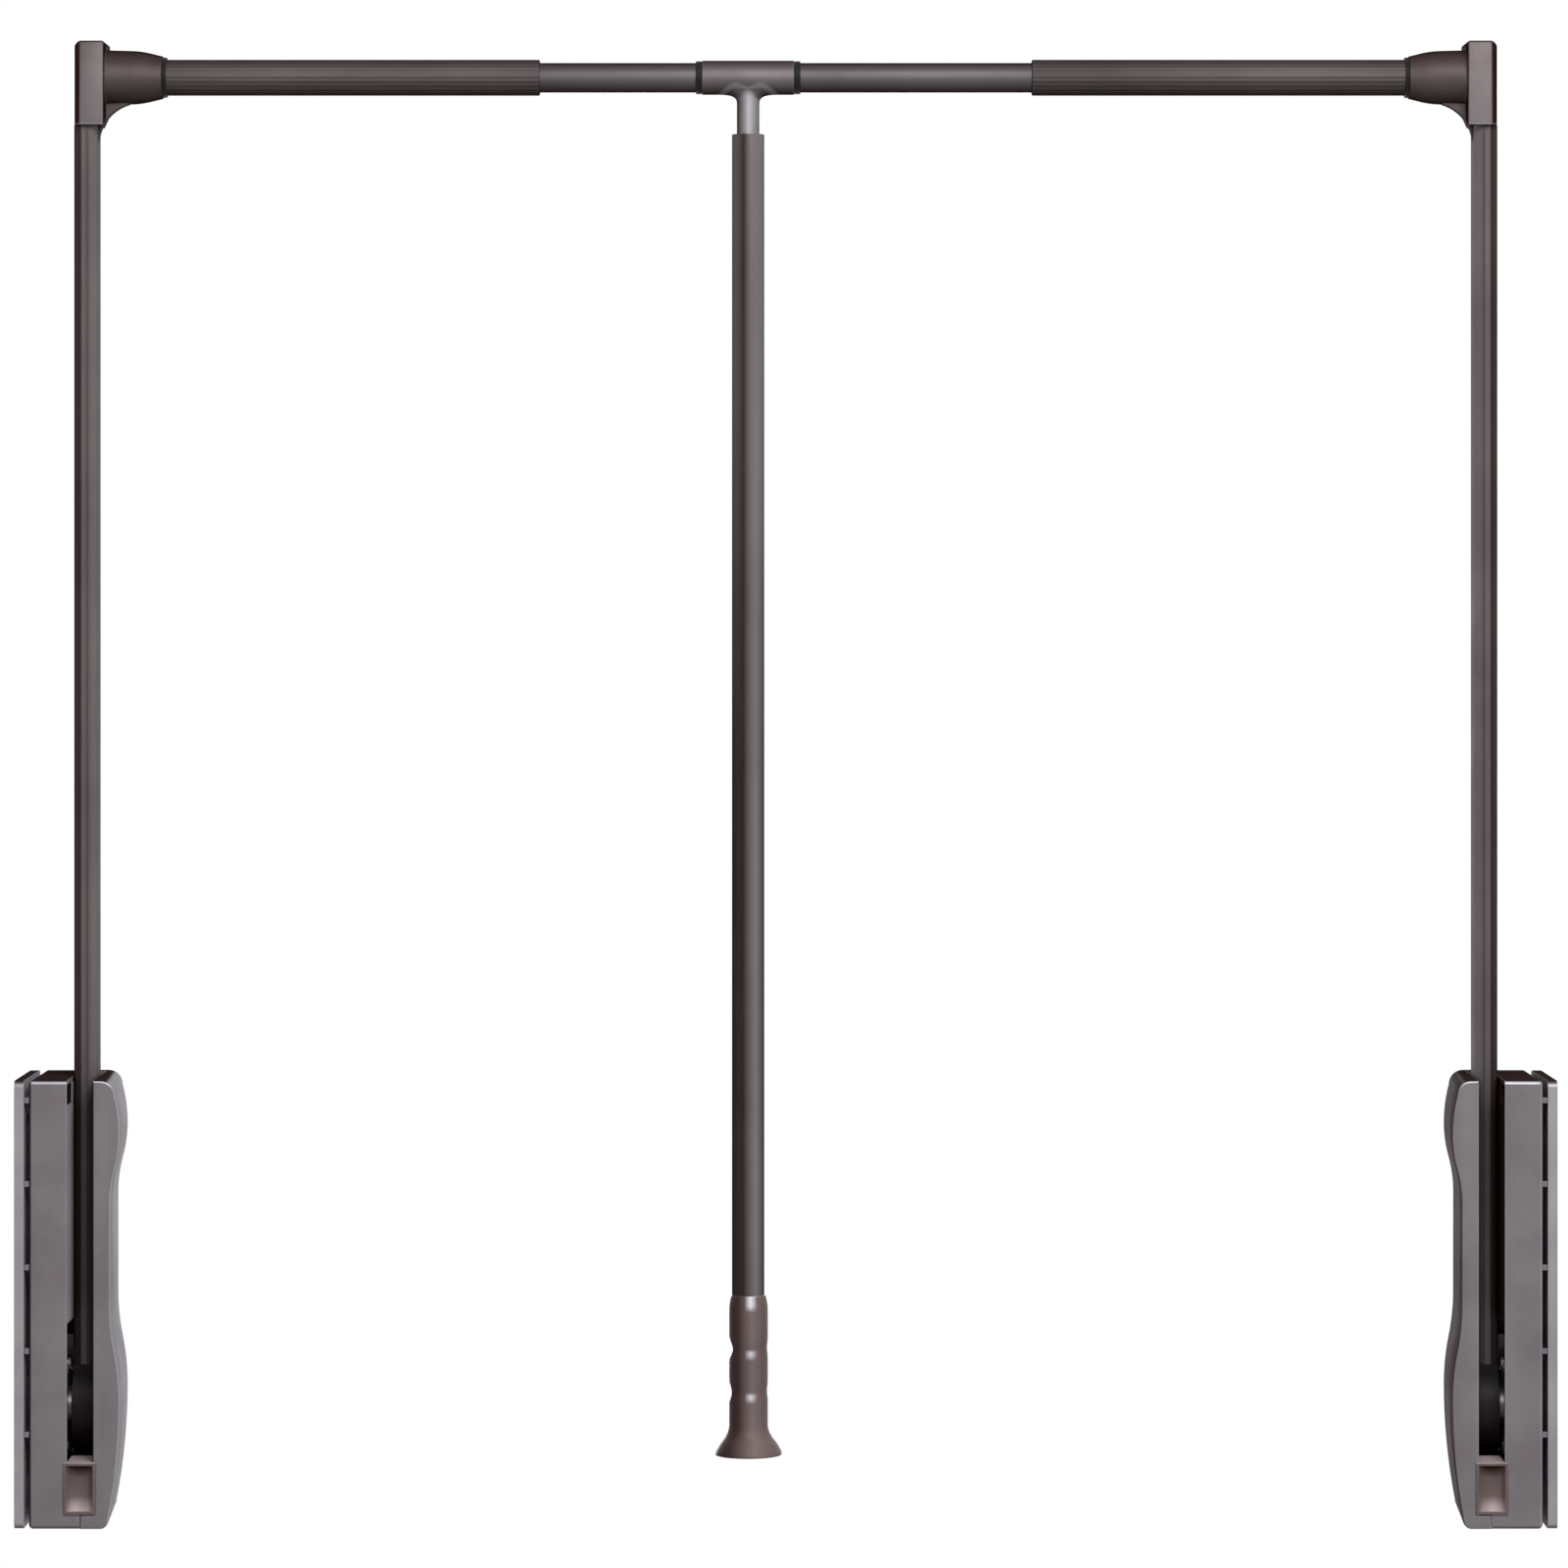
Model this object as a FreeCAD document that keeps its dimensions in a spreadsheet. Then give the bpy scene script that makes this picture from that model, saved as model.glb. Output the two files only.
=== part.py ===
import FreeCAD, Part
import math
import os
import Sketcher

# Pull down closet rod: two wall housings, each with a spring-lifted arm, a
# telescopic bar between the arms and a pull rod that hangs from the bar.
#
# Row frame: X runs from the left wall to the right wall, Y from the front to
# the back, Z up. The origin is on the left wall, at the centre of the left wall
# plate's four screw holes. Each piece is drawn in a frame of its own (housing
# bottom, swing axle or hanging bar) and its Placement puts it in the row frame.

DOC = FreeCAD.newDocument("pull_down_closet_rod")
SHEET = DOC.addObject("Spreadsheet::Sheet", "dims")

# name, value in millimetres (degrees for the angle, a count where it says so)
DRIVING_SIZES = (
    # overall
    ("width", 868.0),                # left wall to right wall, as set
    ("bar_height", 819.3),           # housing bottom to the hanging bar's axis
    ("pull_rod_place", 412.6),       # left wall to the pull rod's axis
    # wall plate
    ("plate_thickness", 5.4),
    ("plate_gap", 2.8),              # shadow gap between plate and housing
    ("plate_corner", 4.0),
    ("screw_span_across", 44.0),
    ("screw_inset", 26.0),           # plate's ends to the screw rows
    ("screw_hole", 5.2),
    ("screw_head", 10.0),
    # housing
    ("case_height", 252.0),
    ("case_depth", 80.0),
    ("case_wall", 2.4),
    ("case_edge", 2.4),              # rounding of the outer edges
    ("lug_first", 53.0),             # first hanging lug above the bottom
    ("lug_last", 11.0),              # last hanging lug below the top
    ("lug_size", 3.0),
    ("lug_length", 4.0),             # along the depth
    ("lug_inset", 1.5),              # from the front edge
    ("lug_grip", 3.0),               # how far a lug reaches into the plate
    # slot that the arm swings out of
    ("slot_place", 36.9),            # wall to the slot's middle
    ("slot_width", 14.6),
    ("slot_floor", 8.2),
    ("chassis_wall", 2.0),
    ("web_place", 27.0),             # arm plane to the slot's rear web
    ("web_thickness", 3.0),
    ("window_below", 28.5),          # opening in the slot's outer cheek, below
    ("window_above", 50.5),          # and above the axle
    ("window_rear", 16.0),
    # wavy inner cover: its thickness over the chassis at the front edge
    ("bulge", 13.4),
    ("waist", 8.0),
    ("cover_top", 10.5),
    ("cover_foot", 7.0),
    ("bulge_inset", 30.0),           # top of the housing to the upper bulge
    ("waist_high", 182.5),           # the straight waist's upper end
    ("waist_low", 126.0),            # and its lower end
    ("bulge_low", 72.0),
    ("cover_taper", 4.0),            # narrower at the back by this
    ("cover_corner", 5.0),
    ("crown_corner", 8.0),           # the same at the top
    # swing axle and gear
    ("pivot_height", 64.5),
    ("axle_diameter", 9.0),
    ("axle_bevel", 0.75),
    ("axle_boss_wall", 3.5),
    ("running_fit", 0.05),
    ("gap", 0.3),                    # between pieces that move past each other
    ("gear_module", 3.0),
    ("gear_teeth", 16.0),            # a count
    ("gear_face", 8.0),
    ("pressure_angle", 20.0),
    ("gear_backlash", 0.3),
    ("gear_side_gap", 0.7),          # gear to the slot's outer cheek
    ("dowel_diameter", 4.0),
    ("dowel_wall", 0.5),             # metal left on both sides of a dowel
    ("bush_wall", 1.5),
    ("washer_thickness", 0.5),
    ("washer_radius", 12.0),
    # rack and gas spring
    ("rack_bar", 5.0),               # thickness behind the teeth
    ("rack_below", 52.5),            # axle to the rack's lower end
    ("rack_above", 13.5),            # axle to the end of its teeth
    ("yoke_above", 30.5),            # axle to the yoke
    ("yoke_height", 8.0),
    ("yoke_reach", 9.0),             # gas spring's axis to the yoke's front
    ("rack_addendum", 2.4),
    ("root_clearance", 0.6),
    ("swing_angle", 105.0),          # how far the arm swings down
    ("gas_inset", 6.6),              # back of the rack to the gas spring's axis
    ("gas_side_gap", 0.8),
    ("gas_wall", 1.0),
    ("gas_clearance", 5.0),          # yoke to gas spring, arm swung down
    ("gas_top_inset", 16.0),
    ("gas_rod", 6.0),
    ("gas_rod_seat", 6.0),
    ("gas_gland", 6.0),
    ("piston_height", 8.0),
    ("stud_length", 3.0),
    ("shelf_height", 3.0),
    # screws that clamp the housing
    ("clamp_screw", 4.0),
    ("clamp_head", 7.0),
    ("clamp_head_height", 2.4),
    ("clamp_boss", 8.0),
    ("clamp_bite", 4.5),             # how far a screw reaches past the slot
    ("clamp_rear", 16.0),            # arm plane to the rear screw
    ("clamp_rear_drop", 34.5),       # axle to the rear screw
    ("clamp_top_inset", 8.4),
    ("clamp_back_inset", 5.0),       # back wall to the top screw
    # lower stop and upper buffer
    ("stop_depth", 28.0),
    ("stop_lip", 1.4),
    ("stop_lip_width", 18.2),
    ("buffer_top_inset", 14.0),
    ("buffer_height", 26.0),
    # arm
    ("arm_side_gap", 0.75),          # arm tube to the slot's cheeks
    ("arm_depth", 30.0),
    ("arm_wall", 1.5),
    ("arm_groove", 1.2),
    ("arm_groove_depth", 0.5),
    ("knuckle_side_gap", 0.9),
    ("knuckle_clearance", 3.0),      # to the slot's rear web and the stop
    ("knuckle_neck", 25.0),          # axle to the tube's lower end
    ("tenon_length", 34.0),
    ("tenon_fit", 0.1),
    ("grub_diameter", 4.0),
    ("grub_length", 5.0),
    # corner bracket
    ("bracket_width", 16.8),
    ("bracket_inset", 0.8),          # from the arm's outer side
    ("bracket_cheek", 3.0),          # past the arm's front and back
    ("bracket_above", 19.7),         # bar axis to the top
    ("bracket_below", 27.6),         # bar axis to the tube's upper end
    ("bracket_edge", 4.0),           # rounding of its outer corners
    ("bracket_bevel", 1.2),          # rounding of the others
    ("socket_length", 32.0),
    ("socket_wall", 1.9),            # round the rod, at the mouth
    ("socket_swell", 3.4),           # thicker at the root by this
    ("socket_waist", 2.9),           # thicker half way by this
    ("socket_blend", 1.2),
    ("gusset_foot", 38.5),
    ("gusset_reach", 12.8),          # bracket's inner face to the gusset's end
    ("gusset_arc", 23.8),
    ("gusset_thickness", 9.0),
    ("relief_width", 3.2),           # cut out of the box's corner behind the gusset
    ("relief_height", 7.0),
    ("collar_length", 2.4),
    ("collar_wall", 1.25),
    # hanging bar
    ("outer_rod_wall", 1.75),
    ("outer_rod_end", 294.2),        # wall to the rod's open end
    ("rod_seat", 28.0),              # length of rod inside the socket
    ("flute_count", 24.0),           # a count
    ("flute_radius", 0.9),
    ("flute_depth", 0.3),
    ("inner_tube_radius", 8.4),
    ("inner_tube_wall", 1.3),
    ("inner_tube_length", 667.0),
    # tee, pull rod and grip
    ("tee_length", 52.4),
    ("tee_wall", 1.25),
    ("tee_ring_length", 3.5),
    ("tee_ring_wall", 1.0),
    ("neck_radius", 6.4),
    ("neck_low", 32.3),              # bar axis to the pull rod's top
    ("neck_flare", 2.6),             # wider where it meets the tee by this
    ("neck_flare_length", 4.5),
    ("neck_tenon", 24.0),
    ("pull_rod_radius", 9.2),
    ("pull_rod_wall", 1.5),
    ("grip_top", 692.0),             # bar axis to the grip's upper end
    ("grip_length", 90.9),
    ("grip_wall", 2.1),
    ("grip_seat", 22.0),
    ("notch_depth", 2.4),
    ("notch_arc", 9.0),
    ("notch_first", 30.0),           # grip's top to the first finger notch
    ("notch_pitch", 24.5),
    ("foot_height", 16.0),
    ("foot_flare", 7.9),             # wider than the grip by this
    ("foot_edge", 0.8),
    ("grip_taper", 1.4),             # narrower at its upper end by this
    ("grip_taper_length", 9.0),
)


def fill_sheet():
    for row, (alias, value) in enumerate(DRIVING_SIZES, start=1):
        SHEET.set("A%d" % row, alias.replace("_", " "))
        SHEET.set("B%d" % row, str(value))
        SHEET.setAlias("B%d" % row, alias)
    DOC.recompute()


fill_sheet()


def size(expression):
    """The number that an expression over the sheet's names gives now."""
    if isinstance(expression, (int, float)):
        return float(expression)
    return float(SHEET.evalExpression(expression))


# ---------------------------------------------------------------- derived sizes
# housing, across the depth and the height
HALF_CASE = "(dims.case_depth / 2)"
INSIDE = "(%s - dims.case_wall)" % HALF_CASE
CASE_FLOOR = "dims.case_wall"
CASE_ROOF = "(dims.case_height - dims.case_wall)"
SCREW_CENTRE = "(dims.case_height / 2)"
LUG_PITCH = "((dims.case_height - dims.lug_first - dims.lug_last) / 4)"
BUFFER_HIGH = "(dims.case_height - dims.buffer_top_inset)"
BUFFER_LOW = "(%s - dims.buffer_height)" % BUFFER_HIGH
WEB_BACK = "(dims.web_place + dims.web_thickness)"

# housing, across the width
CASE_LEFT = "(dims.plate_thickness + dims.plate_gap)"
SLOT_LEFT = "(dims.slot_place - dims.slot_width / 2)"
SLOT_RIGHT = "(dims.slot_place + dims.slot_width / 2)"
CHEEK_LEFT = "(%s - dims.chassis_wall)" % SLOT_LEFT
CHEEK_RIGHT = "(%s + dims.chassis_wall)" % SLOT_RIGHT
KNUCKLE_LEFT = "(%s + dims.knuckle_side_gap)" % SLOT_LEFT
KNUCKLE_RIGHT = "(%s - dims.knuckle_side_gap)" % SLOT_RIGHT
GEAR_RIGHT = "(%s - dims.gear_side_gap)" % CHEEK_LEFT
GEAR_LEFT = "(%s - dims.gear_face)" % GEAR_RIGHT

# axle, bush and gear
AXLE_RADIUS = "(dims.axle_diameter / 2)"
AXLE_BORE = "(%s + dims.running_fit)" % AXLE_RADIUS
AXLE_START = "(%s + dims.case_wall)" % CASE_LEFT
AXLE_END = "(%s + dims.clamp_bite)" % CHEEK_RIGHT
BUSH_RADIUS = "(%s + dims.bush_wall)" % AXLE_BORE
DOWEL_RADIUS = "(dims.dowel_diameter / 2)"
DOWEL_PLACE = "(%s + dims.dowel_wall + %s)" % (BUSH_RADIUS, DOWEL_RADIUS)
GEAR_HUB = "(%s + %s + dims.dowel_wall)" % (DOWEL_PLACE, DOWEL_RADIUS)
PITCH_RADIUS = "(dims.gear_module * round(dims.gear_teeth) / 2)"
KNUCKLE_RADIUS = "(dims.web_place - dims.knuckle_clearance)"
STOP_HIGH = "(dims.pivot_height - %s - dims.knuckle_clearance)" % KNUCKLE_RADIUS

# rack and gas spring
RACK_ROOT = "(%s + dims.gear_module + dims.root_clearance)" % PITCH_RADIUS
RACK_BACK = "(%s + dims.rack_bar)" % RACK_ROOT
RACK_TRAVEL = "(%s * dims.swing_angle * pi / 180)" % PITCH_RADIUS
YOKE_LOW = "(dims.pivot_height + dims.yoke_above)"
YOKE_HIGH = "(%s + dims.yoke_height)" % YOKE_LOW
GAS_RADIUS = "((%s - %s) / 2 - dims.gas_side_gap)" % (CHEEK_LEFT, AXLE_START)
GAS_X = "((%s + %s) / 2)" % (CHEEK_LEFT, AXLE_START)
GAS_Y = "(%s - dims.gas_inset)" % RACK_BACK
GAS_LOW = "(%s + %s + dims.gas_clearance)" % (YOKE_HIGH, RACK_TRAVEL)
GAS_HIGH = "(dims.case_height - dims.gas_top_inset)"
GAS_ROD = "(dims.gas_rod / 2)"

# arm and bracket
ARM_HALF_WIDTH = "(dims.slot_width / 2 - dims.arm_side_gap)"
ARM_HALF_DEPTH = "(dims.arm_depth / 2)"
TUBE_LOW = "(dims.pivot_height + dims.knuckle_neck)"
TUBE_HIGH = "(dims.bar_height - dims.bracket_below)"
BRACKET_LEFT = "(dims.slot_place - %s + dims.bracket_inset)" % ARM_HALF_WIDTH
BRACKET_HALF_DEPTH = "(%s + dims.bracket_cheek)" % ARM_HALF_DEPTH
SOCKET_START = "(%s + dims.bracket_width)" % BRACKET_LEFT
SOCKET_END = "(%s + dims.socket_length)" % SOCKET_START
GRUB_RADIUS = "(dims.grub_diameter / 2)"
GRUB_START = "(%s - dims.gap - dims.grub_length)" % ARM_HALF_DEPTH

# hanging bar, pull rod and grip
TUBE_BORE = "(dims.inner_tube_radius + dims.running_fit)"
ROD_RADIUS = "(%s + dims.outer_rod_wall)" % TUBE_BORE
ROD_BORE = "(%s + dims.running_fit)" % ROD_RADIUS
ROD_START = "(%s - dims.rod_seat)" % SOCKET_END
ROD_SCREW_PLACE = "(%s - dims.rod_seat / 2)" % SOCKET_END
TEE_RADIUS = "(%s + dims.tee_wall)" % TUBE_BORE
PULL_BORE = "(dims.pull_rod_radius - dims.pull_rod_wall)"
TEE_SCREW_HEIGHT = "(-dims.neck_low - dims.neck_tenon / 2)"
GRIP_RADIUS = "(dims.pull_rod_radius + dims.grip_wall)"
FOOT_RADIUS = "(%s + dims.foot_flare)" % GRIP_RADIUS
# the foot's flare: share of its height, share of its spread
FOOT_CURVE = ((0.22, 0.88), (0.43, 0.63), (0.64, 0.28), (0.85, 0.07))

# the clamping screws: along the depth, up the housing
CLAMP_POINTS = (
    ("(dims.stop_depth / 2 - %s)" % HALF_CASE, "((dims.slot_floor + %s) / 2)" % STOP_HIGH),
    ("dims.clamp_rear", "(dims.pivot_height - dims.clamp_rear_drop)"),
    ("(%s - dims.clamp_back_inset)" % INSIDE, "(dims.case_height - dims.clamp_top_inset)"),
)

# where each frame of drawing lies in the row frame: x, z
HOUSING_FRAME = ("0", "-%s" % SCREW_CENTRE)
AXLE_FRAME = ("0", "dims.pivot_height - %s" % SCREW_CENTRE)
BAR_FRAME = ("0", "dims.bar_height - %s" % SCREW_CENTRE)
PULL_FRAME = ("dims.pull_rod_place", BAR_FRAME[1])
BRACKET_TOP = "%s + dims.bracket_above" % BAR_FRAME[1]
BRACKET_FOOT = "%s - dims.bracket_below" % BAR_FRAME[1]


# -------------------------------------------------------------- drawing helpers
def minus(expression):
    return "-(%s)" % expression


def new_body(label, frame, across="0"):
    """A PartDesign body whose own frame lies at (x, z) of the row frame."""
    body = DOC.addObject("PartDesign::Body", label)
    body.Label = label
    place(body, frame, across)
    return body


def place(item, frame, across="0"):
    for axis, expression in zip("xyz", (frame[0], across, frame[1])):
        if expression != "0":
            item.setExpression("Placement.Base.%s" % axis, expression)


def new_sketch(body, role, lift="0"):
    """A sketch on the body's own origin plane, lifted along the plane's normal."""
    sketch = body.newObject("Sketcher::SketchObject", body.Label + "_sketch")
    planes = [item for item in body.Origin.OriginFeatures if item.Role == role]
    sketch.AttachmentSupport = [(planes[0], "")]
    sketch.MapMode = "FlatFace"
    if lift != "0":
        sketch.setExpression("AttachmentOffset.Base.z", lift)
    return sketch


def pin_point(sketch, curve, end, corner):
    """Ties one end of a curve to expressions for its two sketch coordinates."""
    rules = (("DistanceX", corner[0], -2), ("DistanceY", corner[1], -1))
    for kind, expression, axis in rules:
        if expression == "0":
            sketch.addConstraint(Sketcher.Constraint("PointOnObject", curve, end, axis))
            continue
        rule = Sketcher.Constraint(kind, -1, 1, curve, end, size(expression))
        number = sketch.addConstraint(rule)
        sketch.setExpression("Constraints[%d]" % number, expression)


def arc_between(start, finish, radius, turn):
    """An arc from start to finish. turn is 1 for left-hand, -1 for right-hand,
    doubled for the longer way round, and 0 for a left-hand half round."""
    chord = finish - start
    middle = (start + finish) / 2
    reach = math.sqrt(max(radius ** 2 - (chord.Length / 2) ** 2, 0.0))
    left = FreeCAD.Vector(-chord.y, chord.x, 0).normalize()
    side = 1 if turn in (1, -2) else -1
    centre = middle + left * reach * side
    first, last = (start, finish) if turn >= 0 else (finish, start)
    angles = [math.atan2(p.y - centre.y, p.x - centre.x) for p in (first, last)]
    if angles[1] < angles[0]:
        angles[1] += 2 * math.pi
    circle = Part.Circle(centre, FreeCAD.Vector(0, 0, 1), radius)
    return Part.ArcOfCircle(circle, angles[0], angles[1])


def outline(sketch, corners):
    """A closed outline. A corner is (x, y), or (x, y, radius, turn) where an arc
    leads on to the next corner."""
    points = [FreeCAD.Vector(size(c[0]), size(c[1]), 0) for c in corners]
    ends = []
    for index, corner in enumerate(corners):
        start = points[index]
        finish = points[(index + 1) % len(corners)]
        if len(corner) == 2:
            number = sketch.addGeometry(Part.LineSegment(start, finish), False)
            ends.append((number, 1, 2))
            continue
        arc = arc_between(start, finish, size(corner[2]), corner[3])
        number = sketch.addGeometry(arc, False)
        ends.append((number, 1, 2) if corner[3] >= 0 else (number, 2, 1))
    for index, (number, start, finish) in enumerate(ends):
        following = ends[(index + 1) % len(ends)]
        joint = Sketcher.Constraint("Coincident", number, finish, following[0], following[1])
        sketch.addConstraint(joint)
    for index, corner in enumerate(corners):
        pin_point(sketch, ends[index][0], ends[index][1], corner)
        if len(corner) == 4 and corner[3] == 0:
            curve = ends[index][0]
            sketch.addConstraint(Sketcher.Constraint("Horizontal", curve, 3, curve, 1))
        elif len(corner) == 4:
            rule = Sketcher.Constraint("Radius", ends[index][0], size(corner[2]))
            number = sketch.addConstraint(rule)
            sketch.setExpression("Constraints[%d]" % number, corner[2])


def circle(sketch, x, y, radius):
    middle = FreeCAD.Vector(size(x), size(y), 0)
    shape = Part.Circle(middle, FreeCAD.Vector(0, 0, 1), size(radius))
    number = sketch.addGeometry(shape, False)
    pin_point(sketch, number, 3, (x, y))
    rule = sketch.addConstraint(Sketcher.Constraint("Radius", number, size(radius)))
    sketch.setExpression("Constraints[%d]" % rule, radius)


def rectangle(left, low, right, high):
    return ((left, low), (right, low), (right, high), (left, high))


def stadium(middle, half_width, half_depth):
    """Two straight sides joined by half rounds at the front and the back."""
    flat = "(%s - %s)" % (half_depth, half_width)
    left = "%s - %s" % (middle, half_width)
    right = "%s + %s" % (middle, half_width)
    return ((left, minus(flat), half_width, 0), (right, minus(flat)),
            (right, flat, half_width, 0), (left, flat))


def draw(sketch, shapes):
    for shape in shapes:
        if len(shape) == 3 and isinstance(shape[0], str):
            circle(sketch, *shape)
        else:
            outline(sketch, shape)


def swept(body, kind, role, start, finish, shapes):
    """Pads or pockets outlines and circles between two places on the axis that
    the plane faces. The XZ plane faces the front, so its sign is turned."""
    adds = kind == "PartDesign::Pad"
    lift = start if adds else finish
    if role == "XZ_Plane":
        lift = minus(finish if adds else start)
    sketch = new_sketch(body, role, lift)
    draw(sketch, shapes)
    DOC.recompute()
    before = body.Shape.Volume if body.Tip else 0.0
    feature = body.newObject(kind, body.Label + ("_pad" if adds else "_pocket"))
    feature.Profile = sketch
    feature.setExpression("Length", "(%s) - (%s)" % (finish, start))
    DOC.recompute()
    after = body.Shape.Volume
    if (after <= before) if adds else (after >= before):
        raise RuntimeError("%s changed nothing in %s" % (feature.Name, body.Label))
    return feature


def pad(body, role, start, finish, *shapes):
    return swept(body, "PartDesign::Pad", role, start, finish, shapes)


def pocket(body, role, start, finish, *shapes):
    return swept(body, "PartDesign::Pocket", role, start, finish, shapes)


def turned(body, axis, corners, kind="PartDesign::Revolution"):
    """A solid of revolution. axis is H_Axis for a profile of (along X, radius) and
    V_Axis for one of (radius, height)."""
    sketch = new_sketch(body, "XZ_Plane")
    outline(sketch, corners)
    DOC.recompute()
    feature = body.newObject(kind, body.Label + "_turned")
    feature.Profile = sketch
    feature.ReferenceAxis = (sketch, [axis])
    feature.Angle = 360
    DOC.recompute()
    return feature


def soften(body, kind, amount, chosen):
    """Fillets or chamfers the edges of the last feature that chosen accepts."""
    base = body.Tip
    names = []
    for number, edge in enumerate(base.Shape.Edges, start=1):
        if chosen(edge):
            names.append("Edge%d" % number)
    feature = body.newObject(kind, body.Label + "_edges")
    feature.Base = (base, names)
    length = "Radius" if kind == "PartDesign::Fillet" else "Size"
    feature.setExpression(length, amount)
    DOC.recompute()
    return feature


def runs_along(edge, axis):
    box = edge.BoundBox
    spans = {"x": box.XLength, "y": box.YLength, "z": box.ZLength}
    others = [spans[name] for name in "xyz" if name != axis]
    return spans[axis] > 1.0 and max(others) < 0.01


def near(value, expression):
    return abs(value - size(expression)) < 0.01


def cylinder(radius, frame, start, length, across="0", up="0", axis="x"):
    """A Part cylinder along X (or along Y), set in a frame of drawing."""
    item = DOC.addObject("Part::Cylinder", "cylinder")
    item.setExpression("Radius", radius)
    item.setExpression("Height", length)
    turn = FreeCAD.Vector(0, 1, 0) if axis == "x" else FreeCAD.Vector(1, 0, 0)
    item.Placement.Rotation = FreeCAD.Rotation(turn, 90)
    place(item, (start, "(%s) + (%s)" % (frame[1], up)), across)
    return item


def group(label, items):
    """Several separate solids under one name."""
    item = DOC.addObject("Part::Compound", label)
    item.Label = label
    item.Links = items
    return item


# ------------------------------------------------------------ left wall housing
def lug_heights():
    return ["(dims.lug_first + %d * %s)" % (step, LUG_PITCH) for step in range(5)]


def lug_outlines(clearance):
    """The hanging lugs, or with a clearance the slots that take them."""
    half = "(dims.lug_size / 2 + %s)" % clearance
    near_edge = "(%s - dims.lug_inset + %s)" % (HALF_CASE, clearance)
    far_edge = "(%s - dims.lug_inset - dims.lug_length - %s)" % (HALF_CASE, clearance)
    shapes = []
    for middle in lug_heights():
        low = "%s - %s" % (middle, half)
        high = "%s + %s" % (middle, half)
        shapes.append(rectangle(minus(near_edge), low, minus(far_edge), high))
        shapes.append(rectangle(far_edge, low, near_edge, high))
    return shapes


def make_wall_plate():
    body = new_body("left_wall_plate", HOUSING_FRAME)
    face = rectangle(minus(HALF_CASE), "0", HALF_CASE, "dims.case_height")
    pad(body, "YZ_Plane", "0", "dims.plate_thickness", face)
    soften(body, "PartDesign::Fillet", "dims.plate_corner",
           lambda edge: runs_along(edge, "x"))
    holes = []
    for side in ("-", "+"):
        for up in ("dims.screw_inset", "dims.case_height - dims.screw_inset"):
            across = "%sdims.screw_span_across / 2" % side
            holes.append((across, up, "dims.screw_hole / 2"))
    pocket(body, "YZ_Plane", "0", "dims.plate_thickness", *holes)
    soften(body, "PartDesign::Chamfer", "(dims.screw_head - dims.screw_hole) / 2",
           lambda edge: isinstance(edge.Curve, Part.Circle)
           and near(edge.Curve.Radius, "dims.screw_hole / 2")
           and near(edge.BoundBox.XMin, "dims.plate_thickness"))
    pocket(body, "YZ_Plane", "0", "dims.plate_thickness", *lug_outlines("dims.gap"))
    return body


def clamp_circles(radius):
    return [(y, z, radius) for y, z in CLAMP_POINTS]


def make_outer_case():
    body = new_body("left_outer_case", HOUSING_FRAME)
    face = rectangle(minus(HALF_CASE), "0", HALF_CASE, "dims.case_height")
    pad(body, "YZ_Plane", CASE_LEFT, "dims.slot_place", face)
    soften(body, "PartDesign::Fillet", "dims.case_edge",
           lambda edge: not near(edge.BoundBox.XMin, "dims.slot_place"))
    hollow = rectangle(minus(INSIDE), CASE_FLOOR, INSIDE, CASE_ROOF)
    pocket(body, "YZ_Plane", AXLE_START, "dims.slot_place", hollow)
    front = rectangle("-dims.case_depth", "dims.slot_floor", minus(INSIDE),
                      "2 * dims.case_height")
    roof = rectangle("-dims.case_depth", CASE_ROOF, WEB_BACK, "2 * dims.case_height")
    pocket(body, "YZ_Plane", SLOT_LEFT, "dims.slot_place", front)
    pocket(body, "YZ_Plane", SLOT_LEFT, "dims.slot_place", roof)
    pad(body, "YZ_Plane", "%s - dims.lug_grip - dims.plate_gap" % CASE_LEFT, CASE_LEFT,
        *lug_outlines("0"))
    pad(body, "YZ_Plane", AXLE_START, "%s - dims.gap" % GEAR_LEFT,
        ("0", "dims.pivot_height", "%s + dims.axle_boss_wall" % AXLE_RADIUS))
    pocket(body, "YZ_Plane", AXLE_START, "%s - dims.gap" % GEAR_LEFT,
           ("0", "dims.pivot_height", AXLE_RADIUS))
    pad(body, "YZ_Plane", AXLE_START, CHEEK_LEFT, *clamp_circles("dims.clamp_boss / 2"))
    pocket(body, "YZ_Plane", CASE_LEFT, CHEEK_LEFT, *clamp_circles("dims.clamp_screw / 2"))
    pocket(body, "YZ_Plane", CASE_LEFT, "%s + dims.clamp_head_height" % CASE_LEFT,
           *clamp_circles("dims.clamp_head / 2"))
    shelf = rectangle("%s - %s" % (GAS_Y, GAS_RADIUS), GAS_HIGH, INSIDE,
                      "%s + dims.shelf_height" % GAS_HIGH)
    pad(body, "YZ_Plane", AXLE_START, CHEEK_LEFT, shelf)
    pocket(body, "XY_Plane", GAS_HIGH, "%s + dims.shelf_height" % GAS_HIGH,
           (GAS_X, GAS_Y, GAS_ROD))
    rail = rectangle("%s + dims.gap" % RACK_BACK, CASE_FLOOR, INSIDE, GAS_LOW)
    pad(body, "YZ_Plane", GEAR_LEFT, GEAR_RIGHT, rail)
    return body


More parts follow.
